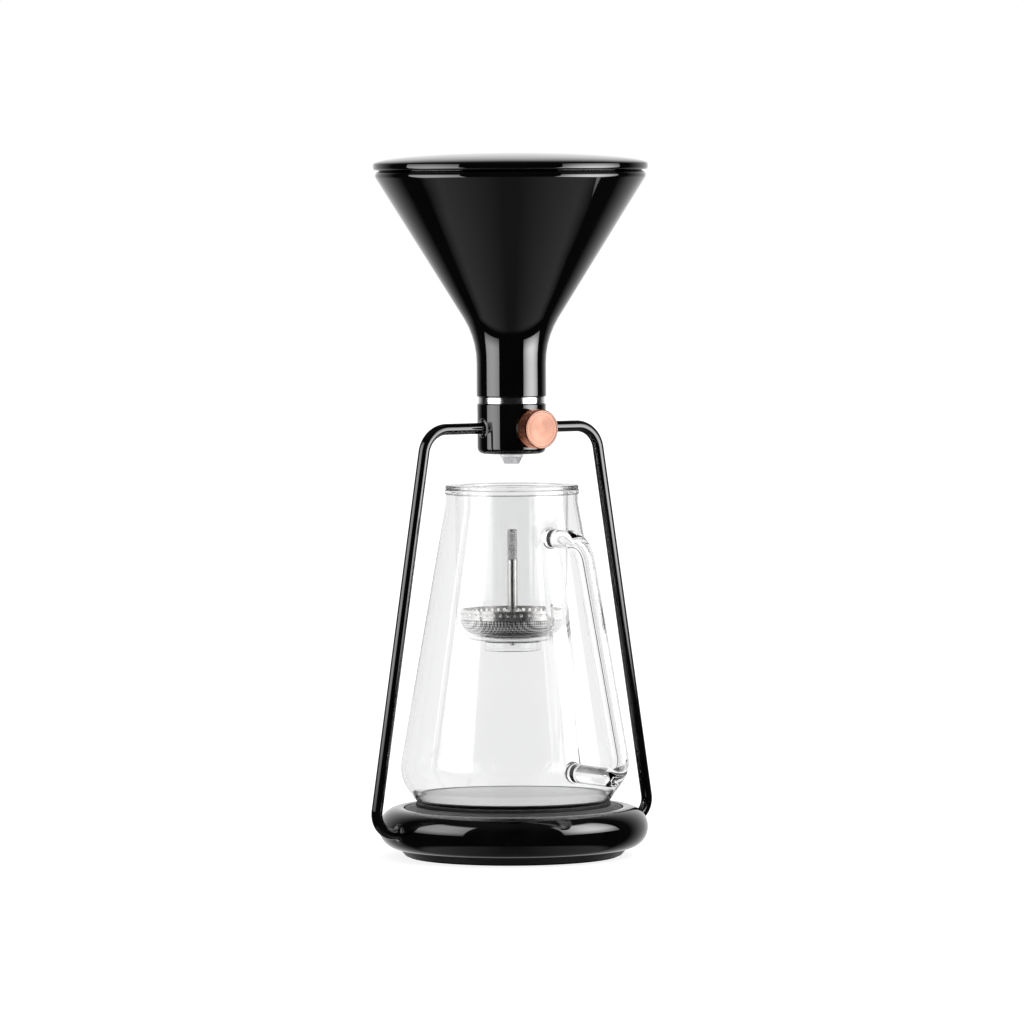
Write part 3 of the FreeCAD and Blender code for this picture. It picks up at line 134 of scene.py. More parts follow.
def outline(corners, closed=False):
    """Points and outward normals along a drawing whose corners are rounded.

    A corner is (across, up) or (across, up, radius). An arc of that radius touches both sides at
    radius * tan(half the turn) from the corner. Radius 0 keeps the point, with the mean of its two normals.
    """
    spots = np.array([c[:2] for c in corners], float)
    radii = [c[2] if len(c) > 2 else EDGE for c in corners]
    ahead = unit(np.roll(spots, -1, axis=0) - spots)
    points, normals = [], []
    last = len(corners) - 1
    for k, (spot, radius) in enumerate(zip(spots, radii)):
        way_out, way_in = ahead[k], ahead[k - 1]
        if not closed and k in (0, last):
            way = way_out if k == 0 else way_in
            points.append(spot)
            normals.append((way[1], -way[0]))
            continue
        turn = math.atan2(way_in[0] * way_out[1] - way_in[1] * way_out[0], way_in @ way_out)
        if radius == 0 or abs(turn) < 1e-4:
            mean = unit(way_in + way_out)
            points.append(spot)
            normals.append((mean[1], -mean[0]))
            continue
        reach = radius * math.tan(abs(turn) / 2)
        side = 1 if turn > 0 else -1
        middle = spot - way_in * reach + side * radius * np.array([-way_in[1], way_in[0]])
        bends = np.linspace(0, turn, max(3, int(abs(turn) / ARC_STEP) + 1))
        begin = math.atan2(way_in[1], way_in[0])
        facing = np.stack([np.sin(begin + bends), -np.cos(begin + bends)], axis=1)
        arc = middle + side * radius * facing
        points += [spot - way_in * (reach + GUARD), *arc, spot + way_out * (reach + GUARD)]
        normals += [facing[0], *facing, facing[-1]]
    return np.array(points), np.array(normals)


# %% A turned piece
AROUND = 192


def around(columns):
    """Angles that divide a full turn evenly, without its last one."""
    return np.linspace(0, 2 * math.pi, columns, endpoint=False)


def carried_round(corners, closed, columns):
    """Points and normals of an outline carried round the Z axis: (r, z) becomes (r cos a, r sin a, z)."""
    angle = around(columns)
    spin = np.stack([np.cos(angle), np.sin(angle)], axis=-1)
    return [
        np.concatenate(
            [both[:, None, :1] * spin[None], np.repeat(both[:, None, 1:], columns, axis=1)], axis=-1
        )
        for both in outline(corners, closed)
    ]


def turned(name, corners, columns=AROUND):
    """A piece turned on the Z axis: a solid where its drawing begins on the axis, or else a ring."""
    ring = corners[0][0] > 0
    return skin(name, *carried_round(corners, ring, columns), ring)


# %% [markdown]
# ## Shader groups
#
# Several finishes share an effect: a glaze that has run, fingers that have dulled a surface, the grain of
# a moulding, the fine rings that a lathe leaves. Each effect is worked out once in a node group, and each
# material places it with its own numbers. A group gives only heights, values and masks. The shader stays
# in the material, where its gloss can be read and changed.

# %% Small helpers for nodes
def feed(tree, value, socket):
    """Links an output to the socket, or writes a number or a colour on it."""
    if isinstance(value, bpy.types.NodeSocket):
        tree.links.new(value, socket)
    else:
        socket.default_value = value


def sums(tree, operation, *values):
    node = tree.nodes.new("ShaderNodeMath")
    node.operation = operation
    for value, socket in zip(values, node.inputs):
        feed(tree, value, socket)
    return node.outputs[0]


def noise(tree, vector, size, detail):
    """Noise whose patches have that size in metres."""
    node = tree.nodes.new("ShaderNodeTexNoise")
    node.inputs["Detail"].default_value = detail
    feed(tree, vector, node.inputs["Vector"])
    feed(tree, sums(tree, "DIVIDE", 1.0, size), node.inputs["Scale"])
    return node.outputs[0]


def spread(tree, value, low, high, from_low=0.35, from_high=0.65):
    """The range from_low to from_high becomes low to high. Noise keeps to the middle of 0 to 1, so
    without a range of its own its middle third is spread."""
    node = tree.nodes.new("ShaderNodeMapRange")
    for socket, number in zip(node.inputs, (value, from_low, from_high, low, high)):
        feed(tree, number, socket)
    return node.outputs[0]


def parts(tree, vector):
    """The vector's three numbers."""
    node = tree.nodes.new("ShaderNodeSeparateXYZ")
    feed(tree, vector, node.inputs[0])
    return node.outputs


def from_axis(tree, vector):
    """The distance from the vector's Z axis."""
    x, y = parts(tree, vector)[:2]
    square = [sums(tree, "MULTIPLY", number, number) for number in (x, y)]
    return sums(tree, "SQRT", sums(tree, "ADD", *square))


def choose(tree, ray, value, otherwise):
    """value for that kind of ray, and otherwise for the rest."""
    share = sums(tree, "MULTIPLY", ray, sums(tree, "SUBTRACT", value, otherwise))
    return sums(tree, "ADD", share, otherwise)


def group(name, inputs, outputs):
    """An empty node group with named number sockets, and a Vector input that holds the place."""
    tree = bpy.data.node_groups.new(name, "ShaderNodeTree")
    tree.interface.new_socket("Vector", in_out="INPUT", socket_type="NodeSocketVector")
    for label, value in inputs.items():
        socket = tree.interface.new_socket(label, in_out="INPUT", socket_type="NodeSocketFloat")
        socket.default_value = value
    for label in outputs:
        tree.interface.new_socket(label, in_out="OUTPUT", socket_type="NodeSocketFloat")
    return tree, tree.nodes.new("NodeGroupInput").outputs, tree.nodes.new("NodeGroupOutput").inputs


# %% The effects that finishes share
# Glaze: long waves from the way that it ran, and a fine peel on top. Heights are in metres.
ripple, r_in, r_out = group(
    "glaze_ripple",
    {"Wave size": 0.03, "Wave height": 1e-5, "Peel size": 0.002, "Peel height": 1e-7},
    ["Height"],
)
wave, peel = (noise(ripple, r_in["Vector"], r_in[layer + " size"], 1.0) for layer in ("Wave", "Peel"))
wave = sums(ripple, "MULTIPLY", wave, r_in["Wave height"])
peel = sums(ripple, "MULTIPLY", peel, r_in["Peel height"])
feed(ripple, sums(ripple, "ADD", wave, peel), r_out["Height"])

# Handling: soft patches between a clean and a dulled value.
handling, h_in, h_out = group(
    "handling_marks", {"Patch size": 0.02, "Clean": 0.05, "Dulled": 0.1}, ["Value"]
)
patch = noise(handling, h_in["Vector"], h_in["Patch size"], 4.0)
feed(handling, spread(handling, patch, h_in["Clean"], h_in["Dulled"]), h_out["Value"])

# Grain: the fine pitted texture of a mould or of a blasted sheet, and the same as a mask.
grain, g_in, g_out = group("fine_grain", {"Size": 0.0006, "Height": 1e-5}, ["Height", "Mask"])
pits = noise(grain, g_in["Vector"], g_in["Size"], 3.0)
feed(grain, sums(grain, "MULTIPLY", pits, g_in["Height"]), g_out["Height"])
feed(grain, spread(grain, pits, 0.0, 1.0), g_out["Mask"])

# Tool marks: rings round the vector's Z axis, from noise read at (distance from the axis, 0, height).
rings, t_in, t_out = group("turned_marks", {"Pitch": 0.0003, "Height": 1e-6}, ["Height", "Mask"])
section = rings.nodes.new("ShaderNodeCombineXYZ")
feed(rings, from_axis(rings, t_in["Vector"]), section.inputs[0])
feed(rings, parts(rings, t_in["Vector"])[2], section.inputs[2])
marks = noise(rings, section.outputs[0], t_in["Pitch"], 2.0)
feed(rings, sums(rings, "MULTIPLY", marks, t_in["Height"]), t_out["Height"])
feed(rings, spread(rings, marks, 0.0, 1.0), t_out["Mask"])
print("node groups:", sorted(g.name for g in bpy.data.node_groups))

# %% A finish and its parts
finishes = {}


class Finish:
    """A material under construction: its node tree, its shader, and short calls for what goes in."""

    def __init__(self, slot, **constants):
        self.material = bpy.data.materials.new(slot + "_finish")
        self.material.use_nodes = True
        self.tree = self.material.node_tree
        self.shader = self.tree.nodes["Principled BSDF"]
        self.place = self.tree.nodes.new("ShaderNodeTexCoord").outputs["Object"]
        for label, value in constants.items():
            self.shader.inputs[label.replace("_", " ")].default_value = value
        finishes[slot] = self.material

    def effect(self, tree, vector=None, **numbers):
        """Places a shared effect on this finish and gives its outputs."""
        node = self.tree.nodes.new("ShaderNodeGroup")
        node.node_tree = tree
        feed(self.tree, vector or self.place, node.inputs["Vector"])
        for label, value in numbers.items():
            node.inputs[label.replace("_", " ")].default_value = value
        return node.outputs

    def blend(self, mask, first, second):
        """A colour between two, by a mask. Each is three numbers or an output."""
        node = self.tree.nodes.new("ShaderNodeMix")
        node.data_type = "RGBA"
        feed(self.tree, mask, node.inputs[0])
        for colour, socket in ((first, node.inputs[6]), (second, node.inputs[7])):
            feed(self.tree, (*colour, 1.0) if isinstance(colour, tuple) else colour, socket)
        return node.outputs[2]

    def patches(self, size, clean, dulled):
        """Soft patches between two values."""
        return self.effect(handling, Patch_size=size, Clean=clean, Dulled=dulled)["Value"]

    def give(self, label, value):
        feed(self.tree, value, self.shader.inputs[label])

    def bump(self, height):
        """Turns a height in metres into the shader's normal."""
        node = self.tree.nodes.new("ShaderNodeBump")
        node.inputs["Distance"].default_value = 1.0
        feed(self.tree, height, node.inputs["Height"])
        feed(self.tree, node.outputs[0], self.shader.inputs["Normal"])

    def turned_to(self, angle, centre):
        """The place, moved to a centre and turned so that the piece's axis is Z."""
        node = self.tree.nodes.new("ShaderNodeMapping")
        node.vector_type = "TEXTURE"
        node.inputs["Location"].default_value = centre
        node.inputs["Rotation"].default_value = angle
        feed(self.tree, self.place, node.inputs["Vector"])
        return node.outputs[0]


# %% [markdown]
# ## Black glaze and black enamel
#
# The funnel and the lid are glazed ceramic, the stand is enamelled steel. Both are nearly black, so what
# the eye reads is the reflection alone. A black colour with a smooth gloss would look like plastic. Glaze
# has a higher refractive index, and it runs before it sets: the long waves bend the edge of a reflected
# softbox. Enamel is sprayed thin on wire and keeps a finer peel.

# %% Glaze and enamel
def glossy_black(slot, index, drift_size, colours, handled, **waves):
    """A black whose colour drifts by a hair, under a gloss that has run."""
    finish = Finish(slot, IOR=index)
    drift = finish.patches(drift_size, 0.0, 1.0)
    finish.give("Base Color", finish.blend(drift, *colours))
    finish.give("Roughness", finish.patches(*handled))
    finish.bump(finish.effect(ripple, **waves)["Height"])


glossy_black(
    "black_glaze", 1.7, 0.035, ((0.0008, 0.0008, 0.001), (0.0022, 0.002, 0.002)), (0.02, 0.03, 0.055),
    Wave_size=0.03, Wave_height=2.4e-4, Peel_size=0.0035, Peel_height=1.2e-6,
)
glossy_black(
    "black_enamel", 1.62, 0.015, ((0.001, 0.001, 0.0012), (0.003, 0.0028, 0.0028)), (0.01, 0.03, 0.07),
    Wave_size=0.012, Wave_height=2e-5, Peel_size=0.0016, Peel_height=1.2e-6,
)

# %% [markdown]
# ## Steel, copper and aluminium
#
# A metal is its reflection too, but tinted and streaked by the tool that made it. The steel rings were
# turned, so noise is read in rings round their axis. The knob's face was spun: very fine concentric lines
# spread a highlight across themselves, which the shader calls anisotropy. The mesh is woven, so its
# pattern is a sum of three waves, one along each axis: bright wires, with painted shade in the holes between
# them.

# %% Turned steel and sheet
def textured(slot, effect, numbers, colours, handled, **constants):
    """A finish whose texture moves its height and its colour, between two, under patches of handling."""
    finish = Finish(slot, **constants)
    texture = finish.effect(effect, **numbers)
    finish.give("Base Color", finish.blend(texture["Mask"], *colours))
    finish.give("Roughness", finish.patches(*handled))
    finish.bump(texture["Height"])


textured(
    "polished_steel", rings, {"Pitch": 0.00035, "Height": 4e-7},
    ((0.62, 0.61, 0.60), (0.74, 0.73, 0.72)), (0.006, 0.09, 0.18), Metallic=1.0,
)
textured(
    "knurled_steel", rings, {"Pitch": 0.0002, "Height": 1e-6},
    ((0.36, 0.36, 0.36), (0.6, 0.6, 0.6)), (0.003, 0.2, 0.34), Metallic=1.0,
)
textured(
    "sheet_steel", grain, {"Size": 0.0008, "Height": 4e-6},
    ((0.42, 0.42, 0.43), (0.58, 0.58, 0.59)), (0.01, 0.25, 0.4), Metallic=1.0,
)
textured(
    "aluminium", grain, {"Size": 0.0004, "Height": 3e-6},
    ((0.6, 0.6, 0.61), (0.76, 0.76, 0.77)), (0.012, 0.28, 0.42), Metallic=1.0,
)

# %% Woven mesh
WEAVE = 0.0012  # metres between two wires
WIRE_RISE = 6e-5  # metres
mesh_steel = Finish("steel_mesh", Metallic=1.0, Roughness=0.28)
weave = mesh_steel.tree
waves = [
    sums(weave, "SINE", sums(weave, "MULTIPLY", number, 2 * math.pi / WEAVE))
    for number in parts(weave, mesh_steel.place)
]
together = sums(weave, "ADD", sums(weave, "ADD", *waves[:2]), waves[2])
# The weave mask raises the wires in the bump. At its low end it paints shade into the holes between the
# wires.
over = spread(weave, together, 0.0, 1.0, -1.0, 1.2)
mesh_steel.give("Base Color", mesh_steel.blend(over, (0.12, 0.12, 0.12), (0.84, 0.84, 0.84)))
mesh_steel.bump(sums(weave, "MULTIPLY", over, WIRE_RISE))

# %% Copper
KNOB_AXIS = 229.5  # mm over the floor
FACE_END, SIDE_START = 0.0099, 0.0102  # metres from the axis
copper = Finish("copper", Metallic=1.0, Anisotropic=0.75, Anisotropic_Rotation=0.25)
on_axis = copper.turned_to((math.pi / 2, 0, 0), (0, 0, KNOB_AXIS * MM))
spun = copper.effect(rings, on_axis, Pitch=0.0005, Height=2e-6)
# Past the face's edge the copper turns darker and redder: painted shade on the knob's side.
shaded_side = spread(copper.tree, from_axis(copper.tree, on_axis), 0.0, 1.0, FACE_END, SIDE_START)
bright = sums(copper.tree, "MULTIPLY", spun["Mask"], sums(copper.tree, "SUBTRACT", 1.0, shaded_side))
face = copper.blend(bright, (0.80, 0.40, 0.29), (0.90, 0.50, 0.38))
copper.give("Base Color", copper.blend(shaded_side, face, (0.8, 0.29, 0.16)))
copper.give("Roughness", copper.patches(0.008, 0.25, 0.29))
tangent = copper.tree.nodes.new("ShaderNodeTangent")
tangent.direction_type = "UV_MAP"
tangent.uv_map = "spun"
feed(copper.tree, tangent.outputs[0], copper.shader.inputs["Tangent"])

# %% [markdown]
# ## Plastic, silicone and the circuit board
#
# The scale's platform and its cover are satin mouldings. The mats and seals are silicone, which is dull
# and picks up dust. A matte black isn't one black: where the grain catches light it is grey. So a mask
# from the grain moves the colour a little, and soft patches move the roughness.

# %% Satin and matte blacks
textured(
    "black_plastic", grain, {"Size": 0.0005, "Height": 1.6e-5},
    ((0.006, 0.006, 0.0065), (0.014, 0.014, 0.0145)), (0.015, 0.38, 0.5),
)

silicone = Finish("black_silicone", Specular_IOR_Level=0.3)
dust = silicone.patches(0.0012, 0.0, 1.0)
bloom = sums(silicone.tree, "MULTIPLY", sums(silicone.tree, "POWER", dust, 6.0), 0.6)
silicone.give("Base Color", silicone.blend(bloom, (0.011, 0.011, 0.0115), (0.045, 0.045, 0.045)))
silicone.give("Roughness", silicone.patches(0.01, 0.6, 0.8))
silicone.bump(silicone.effect(grain, Size=0.0009, Height=2.5e-5)["Height"])

# %% Circuit board
TRACK_WAVES = 3400.0  # radians to a metre
board = Finish("board_green", Roughness=0.35)
across = sums(board.tree, "MULTIPLY", parts(board.tree, board.place)[0], TRACK_WAVES)
stripes = sums(board.tree, "GREATER_THAN", sums(board.tree, "SINE", across), 0.2)
tracks = sums(board.tree, "MULTIPLY", stripes, board.patches(0.004, 0.0, 1.0))
board.give("Base Color", board.blend(tracks, (0.006, 0.05, 0.018), (0.02, 0.12, 0.045)))
board.bump(sums(board.tree, "MULTIPLY", tracks, 2e-5))

# %% [markdown]
# ## Glass
#
# Borosilicate glass has no colour in walls this thin. What shows it is its bending of the light: a wall
# seen edge on gathers whatever stands beside the object. So the glass is a plain dielectric with real wall
# thickness, and the studio gives it something to gather. Light that only passes through, as in a shadow,
# would be lost in this renderer, so shadow rays see the glass as clear. Blown glass is never quite even,
# and a very long, very low wave in its normal gives the streaks of a hand-made jug.

# %% Clear glass and frosted plastic
def clear(slot, tint, index, roughness, wave_height, shadow_tint):
    """A clear finish whose shadow rays pass through."""
    finish = Finish(slot, IOR=index)
    finish.shader.inputs["Transmission Weight"].default_value = 1.0
    finish.give("Roughness", finish.patches(0.02, roughness, roughness * 1.3))
    streak = finish.patches(0.05, 0.0, 1.0)
    finish.give("Base Color", finish.blend(streak, tint, tuple(min(1.0, c * 1.004) for c in tint)))
    waves = {"Wave_size": 0.018, "Wave_height": wave_height, "Peel_size": 0.004, "Peel_height": 0.0}
    finish.bump(finish.effect(ripple, **waves)["Height"])
    nodes, links = finish.tree.nodes, finish.tree.links
    passing, mix = nodes.new("ShaderNodeBsdfTransparent"), nodes.new("ShaderNodeMixShader")
    passing.inputs[0].default_value = (*shadow_tint, 1.0)
    links.new(nodes.new("ShaderNodeLightPath").outputs["Is Shadow Ray"], mix.inputs[0])
    links.new(finish.shader.outputs[0], mix.inputs[1])
    links.new(passing.outputs[0], mix.inputs[2])
    links.new(mix.outputs[0], nodes["Material Output"].inputs["Surface"])
    return finish


clear("clear_glass", (0.988, 0.989, 0.99), 1.47, 0.0, 1.6e-5, (0.97, 0.97, 0.97))
clear("clear_plastic", (0.95, 0.95, 0.96), 1.45, 0.45, 6e-6, (0.85, 0.85, 0.86))
print("finishes:", sorted(finishes))

# %% [markdown]
# ## Dressing a piece
#
# A new piece rides on the body that moves it, stands for the nodes of the construction model that it
# covers, and takes the finish of their slot. One call does the three, so that no piece can miss one.

# %% Dress
def dress(piece, body, slot, *nodes):
    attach(piece, body)
    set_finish(piece, slot)
    if nodes:
        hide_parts(*nodes)
    piece.data.materials.clear()
    piece.data.materials.append(finishes[slot])
    return piece


# %% [markdown]
# ## The lid and the funnel
#
# Both are ceramic, thrown or cast as bodies of revolution, glazed black. The lid is a disc with a shallow
# dome. Its edge overhangs the funnel's rim, and a ring under it keeps it in place. The dome is a flat
# ellipse, because a part of a sphere would meet the edge at a corner that the real one doesn't have.

# %% Lid
rim_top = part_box("funnel")[1].z / MM
lid_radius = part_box("lid")[1].x / MM
lid_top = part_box("lid")[1].z / MM
lid_edge = lid_top - 6.0
lid_ceiling = rim_top + 2.4
CENTRING_DROP = 4.0
CENTRING_INSIDE, CENTRING_OUTSIDE, SEAT_OUTSIDE = 62.0, 65.0, 70.2
climb = np.radians([3, 7, 12, 18, 25, 33, 42, 51, 60, 68, 75, 81, 86])
dome = [
    (lid_radius * math.cos(t), lid_edge + (lid_top - lid_edge) * math.sin(t), 0) for t in climb
]
lid = turned(
    "lid_disc",
    [(0, lid_ceiling), (CENTRING_INSIDE, lid_ceiling), (CENTRING_INSIDE, rim_top - CENTRING_DROP, 0.8),
     (CENTRING_OUTSIDE, rim_top - CENTRING_DROP, 0.8), (CENTRING_OUTSIDE, rim_top),
     (SEAT_OUTSIDE, rim_top), (SEAT_OUTSIDE, rim_top + 0.35), (lid_radius, rim_top + 0.35, 1.5),
     (lid_radius, lid_edge, 0), *dome, (0, lid_top)],
)
dress(lid, "lid", "black_glaze", "lid")

# %% Funnel
BORE = 9.5
NECK, NECK_SOCKET, SOCKET_DEPTH = 18.55, 13.0, 8.2
CONE_OUTSIDE, CONE_INSIDE = 74.28, 68.156
OUTER_BEND, INNER_BEND = 46.0, 14.0
neck_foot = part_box("funnel")[0].z / MM
funnel = turned(
    "funnel_cone",
    [(NECK_SOCKET, neck_foot), (NECK, neck_foot, 0.7), (NECK, neck_foot + 31.0, OUTER_BEND),
     (CONE_OUTSIDE, rim_top, 2.45), (CONE_INSIDE, rim_top, 0.8), (BORE, neck_foot + 26.3, INNER_BEND),
     (BORE, neck_foot + SOCKET_DEPTH), (NECK_SOCKET, neck_foot + SOCKET_DEPTH)],
)
dress(funnel, "funnel", "black_glaze", "funnel")

# %% [markdown]
# ## The ferrule and the valve body
#
# The steel ring under the funnel is one turned part: a plug goes down into the valve, a neck goes up into
# the ceramic, and only the band between them shows. The valve body is a short cylinder with a rounded foot.
# The knob's shaft comes out of it through a bored hole, so the bore is cut with a Boolean modifier after
# the body is turned, as the real one is drilled after it is turned.

# %% Ferrule
VALVE_RADIUS, VALVE_FOOT, VALVE_TOP = 18.35, 215.6, 242.4
PLUG, BAND, SPIGOT = 14.0, 17.7, 12.8  # radii
PLUG_FOOT, BAND_TOP, SPIGOT_TOP = 238.2, 246.1, 254.1  # heights
ferrule = turned(
    "ferrule_ring",
    [(BORE, PLUG_FOOT), (PLUG, PLUG_FOOT, 0.3), (PLUG, VALVE_TOP), (BAND, VALVE_TOP, 0.4),
     (BAND, BAND_TOP, 0.4), (SPIGOT, BAND_TOP), (SPIGOT, SPIGOT_TOP, 0.3), (BORE, SPIGOT_TOP)],
)
dress(ferrule, "funnel", "polished_steel", "funnel_ferrule")

# %% Valve body
SMOOTH_BELOW = math.radians(32)


def cut(piece, cutter, operation="DIFFERENCE"):
    """Applies an exact Boolean with the cutter, removes the cutter, and smooths by angle."""
    modifier = piece.modifiers.new("cut", "BOOLEAN")
    modifier.operation, modifier.solver, modifier.object = operation, "EXACT", cutter
    bpy.context.view_layer.update()
    whole = bpy.data.meshes.new_from_object(piece.evaluated_get(bpy.context.evaluated_depsgraph_get()))
    piece.modifiers.clear()
    piece.data = whole
    whole.shade_smooth()
    whole.set_sharp_from_angle(angle=SMOOTH_BELOW)
    bpy.data.objects.remove(cutter)
    print(f"{piece.name}: {len(whole.polygons)} faces after the cut")
    return piece


def along_knob(points):
    """Turns +Z to -Y: (x, y, z) becomes (x, -z, y)."""
    return np.stack([points[..., 0], -points[..., 2], points[..., 1]], axis=-1)


def on_knob(points):
    return along_knob(points) + np.array([0, 0, KNOB_AXIS])


PLUG_SOCKET, CHANNEL, NOZZLE_SOCKET = 14.2, 3.6, 5.2  # radii
SOCKET_FOOT, NOZZLE_TOP = 237.0, 221.0  # heights
valve = turned(
    "valve_shell",
    [(NOZZLE_SOCKET, VALVE_FOOT), (VALVE_RADIUS, VALVE_FOOT, 3.4), (VALVE_RADIUS, VALVE_TOP, 0.5),
     (PLUG_SOCKET, VALVE_TOP), (PLUG_SOCKET, SOCKET_FOOT), (CHANNEL, SOCKET_FOOT),
     (CHANNEL, NOZZLE_TOP), (NOZZLE_SOCKET, NOZZLE_TOP)],
)
# The drill for the spindle: its 'up' is the distance to the front, and its wide end is the nut's seat.
DRILL, NUT_SEAT = 5.6, 9.0
SEAT_START, DRILL_START, DRILL_END = 14.55, -10.4, 20.0
drill_rows, drill_normals = carried_round(
    [(0, DRILL_START), (DRILL, DRILL_START), (DRILL, SEAT_START), (NUT_SEAT, SEAT_START),
     (NUT_SEAT, DRILL_END), (0, DRILL_END)],
    False, 96,
)
cut(valve, skin("bore_tool", on_knob(drill_rows), along_knob(drill_normals)))
dress(valve, "stand", "black_enamel", "valve_body")

# %% [markdown]
# ## The knob
#
# The knob is a copper button with a spun face and a fine straight knurl on its side, so that wet fingers
# can turn it. A knurl painted as bump would leave the outline smooth, and its teeth show against the light.
# So the teeth are in the radius: a rounded wave of 90 teeth, which fades out at both chamfers. The face is
# dished by a hair inside a raised lip. A UV map runs round the axis, and the shader's tangent follows it.

# %% Knob
TEETH = 90
PER_TOOTH = 8
KNOB_BACK, KNOB_LENGTH, KNOB_RADIUS = 22.5, 8.0, 10.4
CHAMFER, LIP_WIDTH, LIP_DROP = 0.5, 0.7, 0.12
SHAFT, SHAFT_DEPTH = 3.0, 5.4
TOOTH_DEPTH = 0.16
KNOB_FRONT, FLAT = KNOB_BACK + KNOB_LENGTH, KNOB_RADIUS - CHAMFER
knob_outline, knob_normals = outline(
    [(0, KNOB_BACK + SHAFT_DEPTH), (SHAFT, KNOB_BACK + SHAFT_DEPTH), (SHAFT, KNOB_BACK, 0.3),
     (FLAT, KNOB_BACK, 0.2), (KNOB_RADIUS, KNOB_BACK + CHAMFER, 0.25),
     (KNOB_RADIUS, KNOB_FRONT - CHAMFER - 0.05, 0.25), (FLAT, KNOB_FRONT, 0.2),
     (FLAT - LIP_WIDTH, KNOB_FRONT, 0.15), (FLAT - 0.15 - LIP_WIDTH, KNOB_FRONT - LIP_DROP, 0.1),
     (0, KNOB_FRONT - LIP_DROP)]
)


def knob_surface(name):
    """Radius = outline radius - depth * fade * wave, where wave is a rounded cosine of the angle, and fade
    is 1 on the side and 0 from the chamfers inwards."""
    columns = TEETH * PER_TOOTH
    angle = around(columns)
    across, up = knob_outline[:, :1], np.repeat(knob_outline[:, 1:], columns, axis=1)
    side = np.abs(knob_normals[:, :1]) * (across > KNOB_RADIUS - 0.45)
    depth = TOOTH_DEPTH * np.clip((side - 0.8) / 0.2, 0, 1)
    wave = 0.5 + 0.5 * np.cos(TEETH * angle)
    radius = across - depth * wave**2
    tilt = -depth * TEETH * np.sin(TEETH * angle) * wave / np.maximum(across, 1.0)
    cos, sin = np.cos(angle), np.sin(angle)
    out, rise = knob_normals[:, :1], np.repeat(knob_normals[:, 1:], columns, axis=1)
    rows = np.stack([radius * cos, radius * sin, up], axis=-1)
    normals = np.stack([out * (cos - sin * tilt), out * (sin + cos * tilt), rise], axis=-1)
    return skin(name, on_knob(rows), along_knob(normals))


def wrap_uv(piece, name):
    """Writes u = angle round the knob's axis and v = distance from it at every face corner. Where a face
    crosses the seam, its small angles get one turn more."""
    mesh = piece.data
    corner = np.zeros(len(mesh.loops), np.int32)
    mesh.loops.foreach_get("vertex_index", corner)
    place = np.zeros(len(mesh.vertices) * 3, np.float32)
    mesh.vertices.foreach_get("co", place)
    place = place.reshape(-1, 3)[corner] - np.array([0, 0, KNOB_AXIS * MM])
    turn = np.arctan2(place[:, 2], place[:, 0]) / (2 * math.pi) + 0.5
    far = np.hypot(place[:, 0], place[:, 2])
    size = np.zeros(len(mesh.polygons), np.int32)
    mesh.polygons.foreach_get("loop_total", size)
    owner = np.repeat(np.arange(len(size)), size)
    top = np.full(len(size), -1.0)
    np.maximum.at(top, owner, turn)
    turn = np.where((top[owner] - turn > 0.5), turn + 1, turn)
    layer = mesh.uv_layers.new(name=name)
    layer.data.foreach_set("uv", np.stack([turn, far * 40], axis=1).astype(np.float32).ravel())


knob = knob_surface("knob_button")
wrap_uv(knob, "spun")
dress(knob, "valve", "copper", "knob")

# %% [markdown]
# ## The drip nozzle
#
# A frosted plastic tip, pressed into the valve from below. It is small, but it is seen against white, so
# its cone, its flange and the bore through it are all in the outline.

# %% Drip nozzle
NOZZLE_BORE, TIP, TIP_ROOT, FLANGE_OUT, NOZZLE_SHANK = 2.2, 4.1, 5.6, 6.1, 5.1  # radii
TIP_FOOT, FLANGE_LOW, FLANGE_HIGH = 210.2, 213.7, VALVE_FOOT - 0.03
nozzle = turned(
    "nozzle_tip",
    [(NOZZLE_BORE, TIP_FOOT), (TIP, TIP_FOOT, 0.4), (TIP_ROOT, FLANGE_LOW, 0.3),
     (FLANGE_OUT, FLANGE_LOW, 0.2), (FLANGE_OUT, FLANGE_HIGH, 0.2), (NOZZLE_SHANK, FLANGE_HIGH),
     (NOZZLE_SHANK, NOZZLE_TOP), (NOZZLE_BORE, NOZZLE_TOP)],
    columns=128,
)
dress(nozzle, "stand", "clear_plastic", "drip_nozzle")

# %% [markdown]
# ## The wires and their welds
#
# Each leg is one steel wire, bent twice in a plane and welded at both ends. A curve with a bevel could draw
# it, but the corners would be its own guess. Here the path is the drawing's path: straight, arc, straight,
# and a circle is carried along it. Its normals are exact, so the long white reflection stays unbroken.
#
# A weld isn't a cone. It is molten metal that wetted both faces and froze in ripples, hollow in section.
# The surface is a curve pulled towards the inner corner, carried round the wire, with wavering reaches.

# %% Legs
WIRE = 3.0
RING_Z, RING_CIRCLE, RING_TUBE = 15.4, 61.2, 11.0


def rod(name, corners, radius, columns, to_space):
    """A round rod along a flat path: point + radius * (cos a * side + sin a * across), where side lies in
    the path's plane and across stands on it. to_space turns (u, v) of the plane into (x, y, z)."""
    path, side = outline(corners)
    steps = np.linalg.norm(np.diff(path, axis=0), axis=1)
    keep = np.concatenate([[True], steps > 1e-4])
    side3, centre = to_space(side[keep]), to_space(path[keep])
    across = np.cross(to_space(np.array([[-side[0][1], side[0][0]]]))[0], side3[0])
    angle = around(columns)[None, :, None]
    normals = np.cos(angle) * side3[:, None] + np.sin(angle) * across
    rows = centre[:, None] + radius * normals
    start, end = np.repeat(centre[[0, -1]][:, None], columns, axis=1)
    rows = np.concatenate([start[None], rows, end[None]])
    normals = np.concatenate([normals[:1], normals, normals[-1:]])
    return skin(name, rows, normals)


def leg_plane(way):
    """The plane of the right or the left wire: (u, v) becomes (way * u, 0, v)."""
    return lambda flat: np.stack([flat[:, 0] * way, np.zeros(len(flat)), flat[:, 1]], axis=1)


